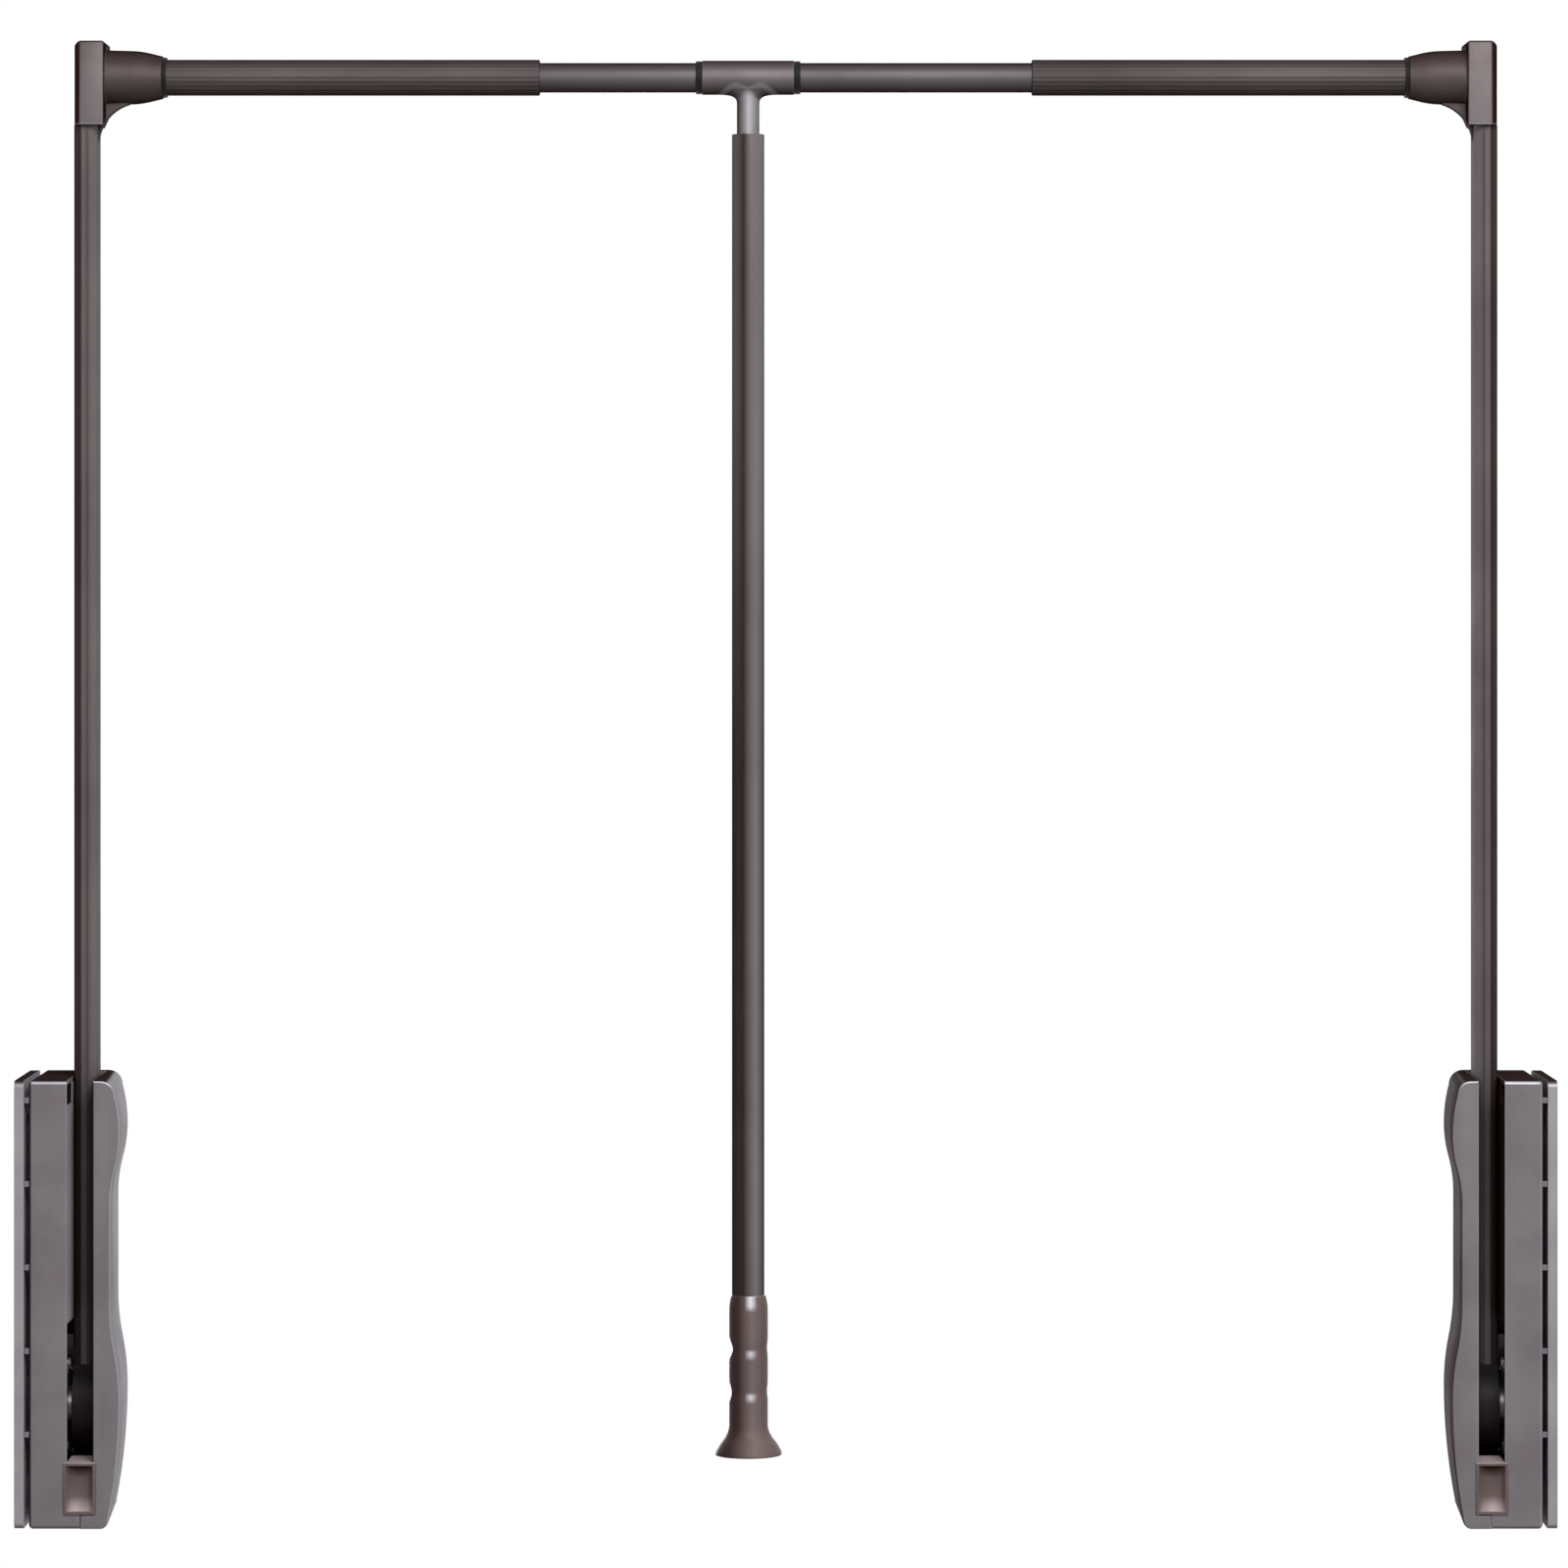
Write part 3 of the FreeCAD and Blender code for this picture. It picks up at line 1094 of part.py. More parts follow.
LEFT_PIECES = (
    make_wall_plate, make_outer_case, make_chassis, make_inner_case, make_case_screws,
    make_stop_block, make_rest_buffer, make_axle, make_thrust_washer, make_gas_cylinder,
    make_gas_piston_rod, make_rack, make_drive_gear, make_gear_dowels, make_pivot_bush,
    make_knuckle, make_arm_tube, make_arm_screws, make_corner_bracket, make_rod_collar,
    make_outer_rod)
CENTRE_PIECES = (
    make_inner_tube, make_tee_rings, make_tee, make_tee_screw, make_pull_rod, make_grip)


def check(piece):
    """Stops the build where a piece of the document is not a sound solid."""
    shape = piece.Shape
    if shape.isNull() or not shape.isValid() or not shape.Solids:
        raise RuntimeError("%s is not a sound solid" % piece.Label)


def main():
    pieces = []
    for make in LEFT_PIECES:
        piece = make()
        pieces.extend((piece, mirrored(piece)))
    pieces.extend(make() for make in CENTRE_PIECES)
    DOC.recompute()
    for item in DOC.Objects:
        if "Invalid" in item.State or "Error" in item.State:
            raise RuntimeError("%s failed to compute" % item.Label)
    for piece in pieces:
        check(piece)
    os.makedirs("parts", exist_ok=True)
    for piece in pieces:
        piece.Shape.exportStep(os.path.join("parts", piece.Label + ".step"))


main()
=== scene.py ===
"""Looks for the pull down closet rod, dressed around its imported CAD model.

Units are metres, in the row frame: X from the left wall to the right wall, Y
from the front to the back, Z up. Places come from the CAD nodes' boxes, and
small radii and depths are named below. Left-hand pieces are built, and their
right-hand twins are mirror images across the middle of the width.
"""
import math
import bmesh
import bpy
from mathutils import Matrix, Vector


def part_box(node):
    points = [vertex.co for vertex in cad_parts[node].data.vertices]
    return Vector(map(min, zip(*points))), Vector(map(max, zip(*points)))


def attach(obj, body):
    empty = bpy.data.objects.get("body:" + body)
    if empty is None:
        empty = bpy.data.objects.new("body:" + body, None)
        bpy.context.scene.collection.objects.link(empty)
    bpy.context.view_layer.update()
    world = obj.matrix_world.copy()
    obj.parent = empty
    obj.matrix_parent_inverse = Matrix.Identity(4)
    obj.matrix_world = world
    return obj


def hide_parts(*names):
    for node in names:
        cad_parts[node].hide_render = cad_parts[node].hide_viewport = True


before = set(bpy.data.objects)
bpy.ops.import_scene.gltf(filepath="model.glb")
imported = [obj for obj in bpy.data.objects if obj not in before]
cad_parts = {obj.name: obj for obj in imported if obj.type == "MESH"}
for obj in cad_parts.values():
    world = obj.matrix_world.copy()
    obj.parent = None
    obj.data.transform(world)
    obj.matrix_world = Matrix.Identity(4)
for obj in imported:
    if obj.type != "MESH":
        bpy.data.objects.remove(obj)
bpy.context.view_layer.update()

MM = 0.001
LOW, HIGH = 0, 1

# ------------------------------------------------------------ places and sizes
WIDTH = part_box("right_wall_plate")[HIGH].x
BAR_HEIGHT = sum(corner.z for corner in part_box("centre_inner_tube")) / 2
PULL_PLACE = sum(corner.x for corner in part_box("pull_rod")) / 2
GRIP_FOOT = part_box("grip")[LOW].z + 20 * MM

SAME_PLACE = 0.001 * MM          # points nearer than this are one
SAME_PLANE = 0.01 * MM           # and so are planes nearer than this
ON_AXIS = 0.1 * MM               # radius at which a turned solid closes on its axis
FLAT_TURN = 1.0                  # degrees below which neighbouring faces are one
SHARP_TURN = 35.0                # degrees from which an edge stays sharp
RIM_TURN = 60.0                  # and from which it counts as a front face's rim
SOFT_EDGE = 0.35 * MM            # ordinary broken edge
CASE_FRONT = 1.3 * MM            # rounding of the cases' front edges
STOP_RIM = 1.4 * MM              # rim round the stop's front panel
STOP_PANEL = 0.8 * MM            # how far the panel is set back
GROOVE_WIDTH = 1.2 * MM          # groove down the front and back of each arm
GROOVE_DEPTH = 0.5 * MM
FLUTES = 24
FLUTE_DEPTH = 0.18 * MM
FLUTE_SHARE = 0.6                # part of the pitch that a flute takes
TUBE_WALL = 1.3 * MM
PULL_WALL = 1.5 * MM
TUBE_PLAY = 0.05 * MM            # between the telescopic tubes
FLUTE_STEPS = 12                 # points across each flute
ROD_LIP = 0.7 * MM               # turned-in end of the outer rod
ROD_MOUTH = 10.0 * MM            # depth to which its bore is modelled
COLLAR_BORE = 10.15 * MM
TEE_RING_LENGTH = 3.5 * MM
TEE_RING_BORE = 8.35 * MM
TEE_BORE = 8.45 * MM
TENON_RADIUS = 7.6 * MM          # of the tee's plug in the pull rod
NECK_RADIUS = 6.4 * MM
NECK_LOW = 32.3 * MM             # bar axis to the pull rod's top
NECK_RISE = 5.0 * MM             # height of its blend into the barrel
NECK_SPREAD = 11.0 * MM          # reach of the blend along the bar
NECK_CHEEK = 1.7 * MM            # and across it
BRACKET_WIDTH = 16.8 * MM
BRACKET_CORNER = 4.0 * MM
BRACKET_BEVEL = 1.2 * MM
RELIEF_WIDTH = 3.2 * MM          # corner cut out of the bracket behind its gusset
RELIEF_HEIGHT = 7.0 * MM
HALF_GUSSET = 4.5 * MM
SOCKET_NOSE = 12.0 * MM          # length of the socket's rounded nose
SOCKET_WALL = 1.95 * MM          # over the rod, at the socket's mouth
SOCKET_TAPER = 3.4 * MM          # thicker at its root by this
SOCKET_BLEND = 1.2 * MM          # fillet from the socket to the box
GUSSET_DROP = 38.5 * MM          # bar axis to the gusset's foot
GUSSET_REACH = 12.8 * MM         # box's inner face to the gusset's tip
GUSSET_RADIUS = 23.8 * MM
PULL_RADIUS = 9.2 * MM
GRIP_RADIUS = 11.3 * MM
GRIP_STEPS = 120
FOOT_HEIGHT = 16.0 * MM
FOOT_EDGE = 0.8 * MM
FOOT_CURVE = ((0.22, 0.88), (0.43, 0.63), (0.64, 0.28), (0.85, 0.07))
GRIP_TAPER = 1.4 * MM            # narrower at its upper end by this
GRIP_TAPER_LENGTH = 9.0 * MM
NOTCHES = ((30.0 * MM, 2.5 * MM), (54.5 * MM, 1.9 * MM))   # below the top, depth
NOTCH_REACH = 9.5 * MM
WAVE_DEPTH = 0.45 * MM           # the same waves, much shallower, all round
WAVE_SHARPNESS = 2.5
NOTCH_SHARPNESS = 1.2


# --------------------------------------------------------------- outline helpers
def soft_path(corners, closed=True, steps=6):
    """A path whose corners (x, y, radius) are rounded off."""
    points = []
    count = len(corners)
    for index, (x, y, radius) in enumerate(corners):
        here = Vector((x, y))
        ends = not closed and index in (0, count - 1)
        if radius == 0 or ends:
            points.append(here)
            continue
        before = Vector(corners[index - 1][:2]) - here
        after = Vector(corners[(index + 1) % count][:2]) - here
        reach = min(radius, before.length * 0.49, after.length * 0.49)
        start = here + before.normalized() * reach
        finish = here + after.normalized() * reach
        for step in range(steps + 1):
            t = step / steps
            points.append(start * (1 - t) ** 2 + here * 2 * t * (1 - t) + finish * t ** 2)
    return points


def arc(centre, radius, start, finish, steps=16):
    """Points of a circular arc between two angles in degrees."""
    points = []
    for step in range(steps + 1):
        angle = math.radians(start + (finish - start) * step / steps)
        points.append(Vector((centre[0] + radius * math.cos(angle),
                              centre[1] + radius * math.sin(angle))))
    return points


# ------------------------------------------------------------------ mesh helpers
def new_piece(name, bm, sharp=SHARP_TURN):
    """Turns a bmesh into a smooth-shaded object with sharp edges kept."""
    bmesh.ops.recalc_face_normals(bm, faces=bm.faces)
    mesh = bpy.data.meshes.new(name)
    bm.to_mesh(mesh)
    bm.free()
    mesh.shade_smooth()
    mesh.set_sharp_from_angle(angle=math.radians(sharp))
    piece = bpy.data.objects.new(name, mesh)
    bpy.context.scene.collection.objects.link(piece)
    return piece


def rings_to_mesh(bm, rings, caps=True, loop=False):
    """Joins rings of points, each a closed loop, into a skin."""
    made = [[bm.verts.new(point) for point in ring] for ring in rings]
    pairs = list(zip(made, made[1:]))
    if loop:
        pairs.append((made[-1], made[0]))
    for first, second in pairs:
        count = len(first)
        for index in range(count):
            following = (index + 1) % count
            bm.faces.new((first[index], first[following], second[following], second[index]))
    if caps and not loop:
        bm.faces.new(made[0])
        bm.faces.new(made[-1])


def add_lathe(bm, profile, axis, origin, segments=96, closed=False):
    """A surface of revolution of (along, radius) points round X or Z."""
    rings = []
    for along, radius in profile:
        ring = []
        for step in range(segments):
            angle = 2 * math.pi * step / segments
            u, v = radius * math.cos(angle), radius * math.sin(angle)
            local = Vector((along, u, v)) if axis == "x" else Vector((u, v, along))
            ring.append(origin + local)
        rings.append(ring)
    rings_to_mesh(bm, rings, caps=not closed, loop=closed)


def add_prism(bm, outline, axis, low, high, edge):
    """An outline swept along an axis, with its end edges broken."""
    orders = {"y": lambda u, v, w: (u, w, v), "z": lambda u, v, w: (u, v, w)}
    made = []
    for level in (low, high):
        ring = [bm.verts.new(orders[axis](p[0], p[1], level)) for p in outline]
        made.append(ring)
    faces = [bm.faces.new(ring) for ring in made]
    count = len(outline)
    for index in range(count):
        following = (index + 1) % count
        bm.faces.new((made[0][index], made[0][following], made[1][following],
                      made[1][index]))
    rims = {item for face in faces for item in face.edges}
    if edge:
        bmesh.ops.bevel(bm, geom=list(rims), offset=edge, segments=3, profile=0.5,
                        affect="EDGES", clamp_overlap=True)


def tube_profile(start, finish, radius, bore, edge=SOFT_EDGE):
    """The closed (along, radius) outline of a tube's wall with soft edges."""
    return soft_path(((start, bore, edge), (finish, bore, edge), (finish, radius, edge),
                      (start, radius, edge)))


def mirrored(piece, name):
    """The right-hand twin of a left-hand piece."""
    mesh = piece.data.copy()
    mesh.name = name
    mesh.transform(Matrix.Translation((WIDTH, 0, 0)) @ Matrix.Diagonal((-1, 1, 1, 1)))
    mesh.flip_normals()
    twin = bpy.data.objects.new(name, mesh)
    bpy.context.scene.collection.objects.link(twin)
    for modifier in piece.modifiers:
        copy = twin.modifiers.new(modifier.name, modifier.type)
        for field in ("width", "segments", "limit_method", "angle_limit", "harden_normals"):
            setattr(copy, field, getattr(modifier, field))
    return twin


def finish_piece(piece, node, body, paints):
    """Gives a piece its paints and seats it on its body in the node's place."""
    for paint in paints:
        piece.data.materials.append(paint)
    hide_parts(node)
    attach(piece, body)


def both_sides(build, node, body, slot, *paints):
    """Builds a left-hand piece and its twin, and seats both on their bodies."""
    left = build("left_" + node)
    right = mirrored(left, "right_" + node + "_visual")
    left.name = "left_" + node + "_visual"
    finish_piece(left, "left_" + node, "left_" + body, paints)
    finish_piece(right, "right_" + node, "right_" + body, paints)


def one_piece(build, node, body, slot, *paints):
    """Builds a piece that has no twin."""
    piece = build(node)
    piece.name = node + "_visual"
    finish_piece(piece, node, body, paints)


def node_mesh(node):
    """A CAD node's shape, with its facets joined back into plain faces."""
    bm = bmesh.new()
    bm.from_mesh(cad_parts[node].data)
    bmesh.ops.remove_doubles(bm, verts=bm.verts, dist=SAME_PLACE)
    bmesh.ops.dissolve_limit(bm, angle_limit=math.radians(FLAT_TURN), verts=bm.verts,
                             edges=bm.edges)
    return bm


def with_broken_edges(front=0.0):
    """A builder that copies a node's shape and breaks its edges, those of its
    front face by a width of their own where one is given."""
    def build(node):
        bm = node_mesh(node)
        if front:
            round_front(bm, front)
        piece = new_piece(node, bm)
        bevel = piece.modifiers.new("edges", "BEVEL")
        bevel.width = SOFT_EDGE
        bevel.segments = 3
        bevel.limit_method = "ANGLE"
        bevel.angle_limit = math.radians(SHARP_TURN)
        bevel.harden_normals = True
        return piece
    return build


def build_stop_block(node):
    """The stop: a panel set back inside a rim, on the face the arm comes down to."""
    bm = node_mesh(node)
    face_y = min(vert.co.y for vert in bm.verts)
    flat = max((face for face in bm.faces if face.normal.y < -0.99),
               key=lambda face: face.calc_area())
    bmesh.ops.inset_region(bm, faces=[flat], thickness=STOP_RIM, depth=0.0)
    bmesh.ops.inset_region(bm, faces=[flat], thickness=STOP_PANEL / 2, depth=0.0)
    for vert in flat.verts:
        vert.co.y = face_y + STOP_PANEL
    return new_piece(node, bm, 25.0)


def round_front(bm, width):
    """Rounds the sharp edges round a piece's front face."""
    face_y = min(vert.co.y for vert in bm.verts)
    rims = [item for item in bm.edges
            if all(abs(vert.co.y - face_y) < SAME_PLANE for vert in item.verts)
            and item.calc_face_angle(0.0) > math.radians(RIM_TURN)]
    bmesh.ops.bevel(bm, geom=rims, offset=width, segments=5, profile=0.5, affect="EDGES",
                    clamp_overlap=True)


# --------------------------------------------------------------------- materials
class Paint:
    """Node-by-node building of one procedural material."""

    def __init__(self, name):
        self.material = bpy.data.materials.new(name)
        self.material.use_nodes = True
        self.nodes = self.material.node_tree.nodes
        self.links = self.material.node_tree.links
        self.shader = self.nodes["Principled BSDF"]
        coordinates = self.nodes.new("ShaderNodeTexCoord")
        self.place = coordinates.outputs["Object"]
        self.facing = coordinates.outputs["Normal"]

    def noise(self, scale, detail=3.0, rough=0.55, stretch=(1, 1, 1)):
        """A noise pattern that is fixed to the piece."""
        mapping = self.nodes.new("ShaderNodeMapping")
        mapping.inputs["Scale"].default_value = stretch
        self.links.new(self.place, mapping.inputs["Vector"])
        texture = self.nodes.new("ShaderNodeTexNoise")
        texture.inputs["Scale"].default_value = scale
        texture.inputs["Detail"].default_value = detail
        texture.inputs["Roughness"].default_value = rough
        self.links.new(mapping.outputs["Vector"], texture.inputs["Vector"])
        return texture.outputs["Fac"]

    def ramp(self, value, low, high, first, second):
        """Maps a noise value between two numbers on to two others."""
        node = self.nodes.new("ShaderNodeMapRange")
        for name, number in (("From Min", low), ("From Max", high),
                             ("To Min", first), ("To Max", second)):
            node.inputs[name].default_value = number
        self.links.new(value, node.inputs["Value"])
        return node.outputs["Result"]

    def mix(self, factor, first, second, blend="MIX"):
        """Blends two colours, each a socket or a plain colour."""
        node = self.nodes.new("ShaderNodeMix")
        node.data_type = "RGBA"
        node.blend_type = blend
        self.links.new(factor, node.inputs["Factor"])
        for socket, colour in (("A", first), ("B", second)):
            inlet = [item for item in node.inputs if item.name == socket
                     and item.type == "RGBA"][0]
            if isinstance(colour, bpy.types.NodeSocket):
                self.links.new(colour, inlet)
            else:
                inlet.default_value = colour
        return [item for item in node.outputs if item.type == "RGBA"][0]

    def bump(self, height, strength, distance):
        """Raises the surface by a pattern."""
        node = self.nodes.new("ShaderNodeBump")
        node.inputs["Strength"].default_value = strength
        node.inputs["Distance"].default_value = distance
        self.links.new(height, node.inputs["Height"])
        self.links.new(node.outputs["Normal"], self.shader.inputs["Normal"])

    def edges(self, radius):
        """1 on broken edges and 0 on flats, from the surface's own roundness."""
        bevel = self.nodes.new("ShaderNodeBevel")
        bevel.samples = 4
        bevel.inputs["Radius"].default_value = radius
        surface = self.nodes.new("ShaderNodeNewGeometry")
        dot = self.nodes.new("ShaderNodeVectorMath")
        dot.operation = "DOT_PRODUCT"
        self.links.new(bevel.outputs["Normal"], dot.inputs[0])
        self.links.new(surface.outputs["Normal"], dot.inputs[1])
        return self.ramp(dot.outputs["Value"], 0.99, 0.85, 0.0, 1.0)

    def part_of(self, vector, axis):
        """One coordinate of a place or a direction."""
        node = self.nodes.new("ShaderNodeSeparateXYZ")
        self.links.new(vector, node.inputs[0])
        return node.outputs[axis]

    def math(self, operation, first, second):
        """One sum over sockets or plain numbers."""
        node = self.nodes.new("ShaderNodeMath")
        node.operation = operation
        for inlet, value in zip(node.inputs, (first, second)):
            if isinstance(value, bpy.types.NodeSocket):
                self.links.new(value, inlet)
            else:
                inlet.default_value = value
        return node.outputs[0]

    def outward(self):
        """How far the surface faces the nearer wall, on either side of the object."""
        side = self.math("SIGN", self.math("SUBTRACT", self.part_of(self.place, "X"),
                                           WIDTH / 2), 0.0)
        return self.math("MULTIPLY", self.part_of(self.facing, "X"), side)

    def finish(self, value, stops, tint):
        """The lacquer's tone over a value from -1 to 1: stops are (value, level). Over the way a
        surface faces, this is painted light and shade.
        """
        node = self.nodes.new("ShaderNodeValToRGB")
        elements = node.color_ramp.elements
        while len(elements) < len(stops):
            elements.new(0.5)
        for element, (place, level) in zip(elements, stops):
            element.position = (place + 1) / 2
            element.color = tinted(bronze(level), tint)
        self.links.new(self.ramp(value, -1.0, 1.0, 0.0, 1.0), node.inputs["Fac"])
        return node.outputs["Color"]

    def sides(self, tone, value, low, high, low_from=0.35, high_from=0.35, flat=None):
        """Gives the faces that look down or up the value's axis levels of their own,
        and the flat face that looks straight up it one more: painted light and shade,
        lit on one side and shaded on the other."""
        towards = self.ramp(value, -low_from, -0.45 - low_from / 2, 0.0, 1.0)
        tone = self.mix(towards, tone, bronze(low))
        towards = self.ramp(value, high_from, high_from + 0.25, 0.0, 1.0)
        tone = self.mix(towards, tone, bronze(high))
        if flat is not None:
            tone = self.mix(self.ramp(value, 0.96, 0.995, 0.0, 1.0), tone, bronze(flat))
        return tone

    def below(self, tone, stops, tint, start, full):
        """Gives upright faces below a height other tones, over the way they face in X: painted
        light and shade, such as a painted highlight down the neck.
        """
        low = self.ramp(self.part_of(self.place, "Z"), start, full, 0.0, 1.0)
        upright = self.ramp(self.part_of(self.facing, "Z"), -0.4, -0.1, 0.0, 1.0)
        across = self.finish(self.part_of(self.facing, "X"), stops, tint)
        return self.mix(self.math("MULTIPLY", low, upright), tone, across)

    def glints(self, tone, side, level, floor):
        """Painted light spots on the upper shoulders of a hand grip, where the photograph
        has reflections: a little to one side and nowhere below a height."""
        shoulder = self.ramp(self.part_of(self.facing, "Z"), 0.01, 0.13, 0.0, 1.0)
        above = self.ramp(self.part_of(self.place, "Z"), floor, floor + 2 * MM, 0.0, 1.0)
        shoulder = self.math("MULTIPLY", shoulder, above)
        off = self.math("SUBTRACT", self.part_of(self.facing, "X"), side)
        near = self.ramp(self.math("ABSOLUTE", off, 0.0), 0.32, 0.0, 0.0, 1.0)
        return self.mix(self.math("MULTIPLY", shoulder, near), tone, bronze(level))

    def recess(self, tone, reach, depth):
        """Darkens what lies deep in a recess: painted shade."""
        open_sky = self.nodes.new("ShaderNodeAmbientOcclusion")
        open_sky.samples = 8
        open_sky.inputs["Distance"].default_value = reach
        # Painted shade where the surface is occluded.
        painted_recess_shade = self.ramp(open_sky.outputs["AO"], 0.15, 0.6, depth, 0.0)
        return self.mix(painted_recess_shade, tone, scaled(bronze(0.0), 0.5))

    def set(self, **values):
        """Sets the shader's own sockets and gives the finished material."""
        for name, value in values.items():
            self.shader.inputs[name.replace("_", " ")].default_value = value
        return self.material


def srgb(red, green, blue):
    """A colour written as 0 to 255, as the shader wants it."""
    def linear(value):
        value /= 255
        return value / 12.92 if value <= 0.04045 else ((value + 0.055) / 1.055) ** 2.4
    return (linear(red), linear(green), linear(blue), 1.0)


def scaled(colour, factor):
    """A colour made lighter or darker."""
    return tuple(channel * factor for channel in colour[:3]) + (1.0,)


def tinted(colour, tint):
    """A colour with each channel scaled by itself."""
    return tuple(channel * share for channel, share in zip(colour, (*tint, 1.0)))


def bronze(level):
    """The lacquer's colour: 0 is its dark red-brown, 1 its pale mauve-grey. Levels far below and
    above the middle mostly serve as painted shade and painted highlight.
    """
    if level < 0.5:
        first, second, share = DARK_BRONZE, MID_BRONZE, level * 2
    else:
        first, second, share = MID_BRONZE, PALE_BRONZE, level * 2 - 1
    return tuple(a + (b - a) * share for a, b in zip(first, second))


def metallic_paint(name, stops, axis="Z", rough=0.4, metal=0.35, grain=700.0, mottle=28.0,
                   stretch=(1, 1, 1), edge_wear_and_highlight=0.0, recess=0.0, reach=24 * MM, sides=None,
                   matt_top=False, tint=(1, 1, 1), gloss=0.0, below=None, glints=None):
    """Satin metallic lacquer: its tone over the way the surface faces, which is painted
    light and shade, a cloudy coat, fine flake, edges lightened as wear and as a painted
    highlight, and painted shade in recesses."""
    paint = Paint(name)
    facing = paint.outward() if axis == "out" else paint.part_of(paint.facing, axis)
    # Tone over the way the surface faces: painted light and shade.
    tone = paint.finish(facing, stops, tint)
    if sides:
        across = paint.outward() if sides[0] == "out" else paint.part_of(paint.facing, "X")
        tone = paint.sides(tone, across, *sides[1:])
    if below:
        tone = paint.below(tone, below[0], tint, *below[1:])
    if glints:
        tone = paint.glints(tone, *glints)
    cloud = paint.noise(mottle, 4.0)
    tone = paint.mix(paint.ramp(cloud, 0.36, 0.64, 0.0, 1.0), tone, (0.84, 0.82, 0.84, 1.0),
                     "MULTIPLY")
    flake = paint.noise(grain, 2.0, 0.6, stretch)
    tone = paint.mix(paint.ramp(flake, 0.35, 0.65, 0.0, 0.025), tone, bronze(0.85))
    # Broken edges lightened: partly wear, partly a painted highlight.
    if edge_wear_and_highlight:
        edge = paint.ramp(paint.edges(1.1 * MM), 0.0, 1.0, 0.0, edge_wear_and_highlight)
        tone = paint.mix(edge, tone, bronze(1.3))
    if recess:
        tone = paint.recess(tone, reach, recess)
    paint.links.new(tone, paint.shader.inputs["Base Color"])
    paint.links.new(paint.ramp(cloud, 0.3, 0.7, rough - 0.04, rough + 0.06),
                    paint.shader.inputs["Roughness"])
    if matt_top:
        upward = paint.part_of(paint.facing, "Z")
        paint.links.new(paint.ramp(upward, 0.7, 0.95, metal, 0.0),
                        paint.shader.inputs["Metallic"])
    paint.bump(flake, 0.08, 0.02 * MM)
    return paint.set(Metallic=metal, Specular_IOR_Level=gloss,
                     Specular_Tint=(0.15, 0.15, 0.15, 1.0))


def machined_steel(name, colour, rough, stretch):
    """Bare steel with turning or rolling marks and a faint oil film."""
    paint = Paint(name)
    marks = paint.noise(600.0, 3.0, 0.6, stretch)
    film = paint.noise(60.0, 4.0)
    tone = paint.mix(paint.ramp(marks, 0.3, 0.7, 0.0, 1.0), scaled(colour, 0.75), colour)
    tone = paint.mix(paint.ramp(film, 0.45, 0.75, 0.0, 0.45), tone, scaled(colour, 0.45))
    paint.links.new(tone, paint.shader.inputs["Base Color"])
    paint.links.new(paint.ramp(marks, 0.2, 0.8, rough - 0.06, rough + 0.14),
                    paint.shader.inputs["Roughness"])
    paint.bump(marks, 0.3, 0.02 * MM)
    return paint.set(Metallic=0.95)


def moulded(name, colour, rough, grain=900.0, gloss=0.4, pit=0.04 * MM):
    """Moulded plastic or rubber with a fine leathery grain and dull patches."""
    paint = Paint(name)
    patch = paint.noise(45.0, 3.0)
    skin = paint.noise(grain, 3.0, 0.65)
    tone = paint.mix(paint.ramp(patch, 0.35, 0.65, 0.0, 1.0), scaled(colour, 0.82),
                     scaled(colour, 1.15))
    tone = paint.mix(paint.ramp(skin, 0.4, 0.7, 0.0, 0.3), tone, scaled(colour, 1.5))
    paint.links.new(tone, paint.shader.inputs["Base Color"])
    paint.links.new(paint.ramp(skin, 0.3, 0.7, rough - 0.06, rough + 0.08),
                    paint.shader.inputs["Roughness"])
    paint.bump(skin, 0.35, pit)
    return paint.set(Metallic=0.0, Specular_IOR_Level=gloss)


DARK_BRONZE = srgb(42, 24, 20)
MID_BRONZE = srgb(90, 81, 80)
PALE_BRONZE = srgb(150, 146, 150)

BAR_GRAIN = {"rough": 0.5, "metal": 0.35, "grain": 500.0, "mottle": 9.0, "stretch": (0.05, 1, 1)}
NECK_FADE = (BAR_HEIGHT - 5.5 * MM, BAR_HEIGHT - 8.5 * MM)   # start and end of its tones
PULL_FADE = (0.56, 0.28)         # heights where the pull rod's tones change over

# The lacquer's level over the way a piece faces, from -1 to 1. This
# paints some of the photograph's light and shade, so it stays under other light.
CASE_TONES = ((-1.0, 0.15), (-0.7, 0.35), (-0.25, 0.76), (0.15, 0.78), (0.45, 1.6),
              (0.75, 1.3), (0.93, 0.12), (1.0, 0.08))
PLATE_TONES = ((-1.0, 0.2), (-0.3, 1.1), (0.4, 1.15), (0.85, 0.2), (1.0, 0.1))
ARM_TONES = ((-1.0, 0.8), (-0.5, 0.6), (-0.2, 0.3), (0.1, 0.7), (0.4, 0.1), (1.0, 0.4))
ROD_TONES = ((-1.0, 0.1), (0.0, 0.5), (1.0, 0.2))
TUBE_TONES = ((-1.0, 0.1), (0.0, 0.6), (1.0, 0.1))
TEE_TONES = ((-1.0, 0.1), (0.0, 0.7), (1.0, 0.2))
NECK_TONES = ((-1.0, 0.3), (0.0, 1.2), (1.0, 0.8))
SOCKET_TONES = ((-1.0, 0.1), (0.0, 0.5), (1.0, 0.1))
BOX_TONES = ((-1.0, 0.2), (-0.4, 0.55), (-0.05, 0.65), (0.08, 0.6), (0.3, 0.05), (1.0, 0.05))
PULL_TONES = ((-1.0, 0.7), (-0.3, 0.1), (0.5, 0.7), (1.0, 0.8))
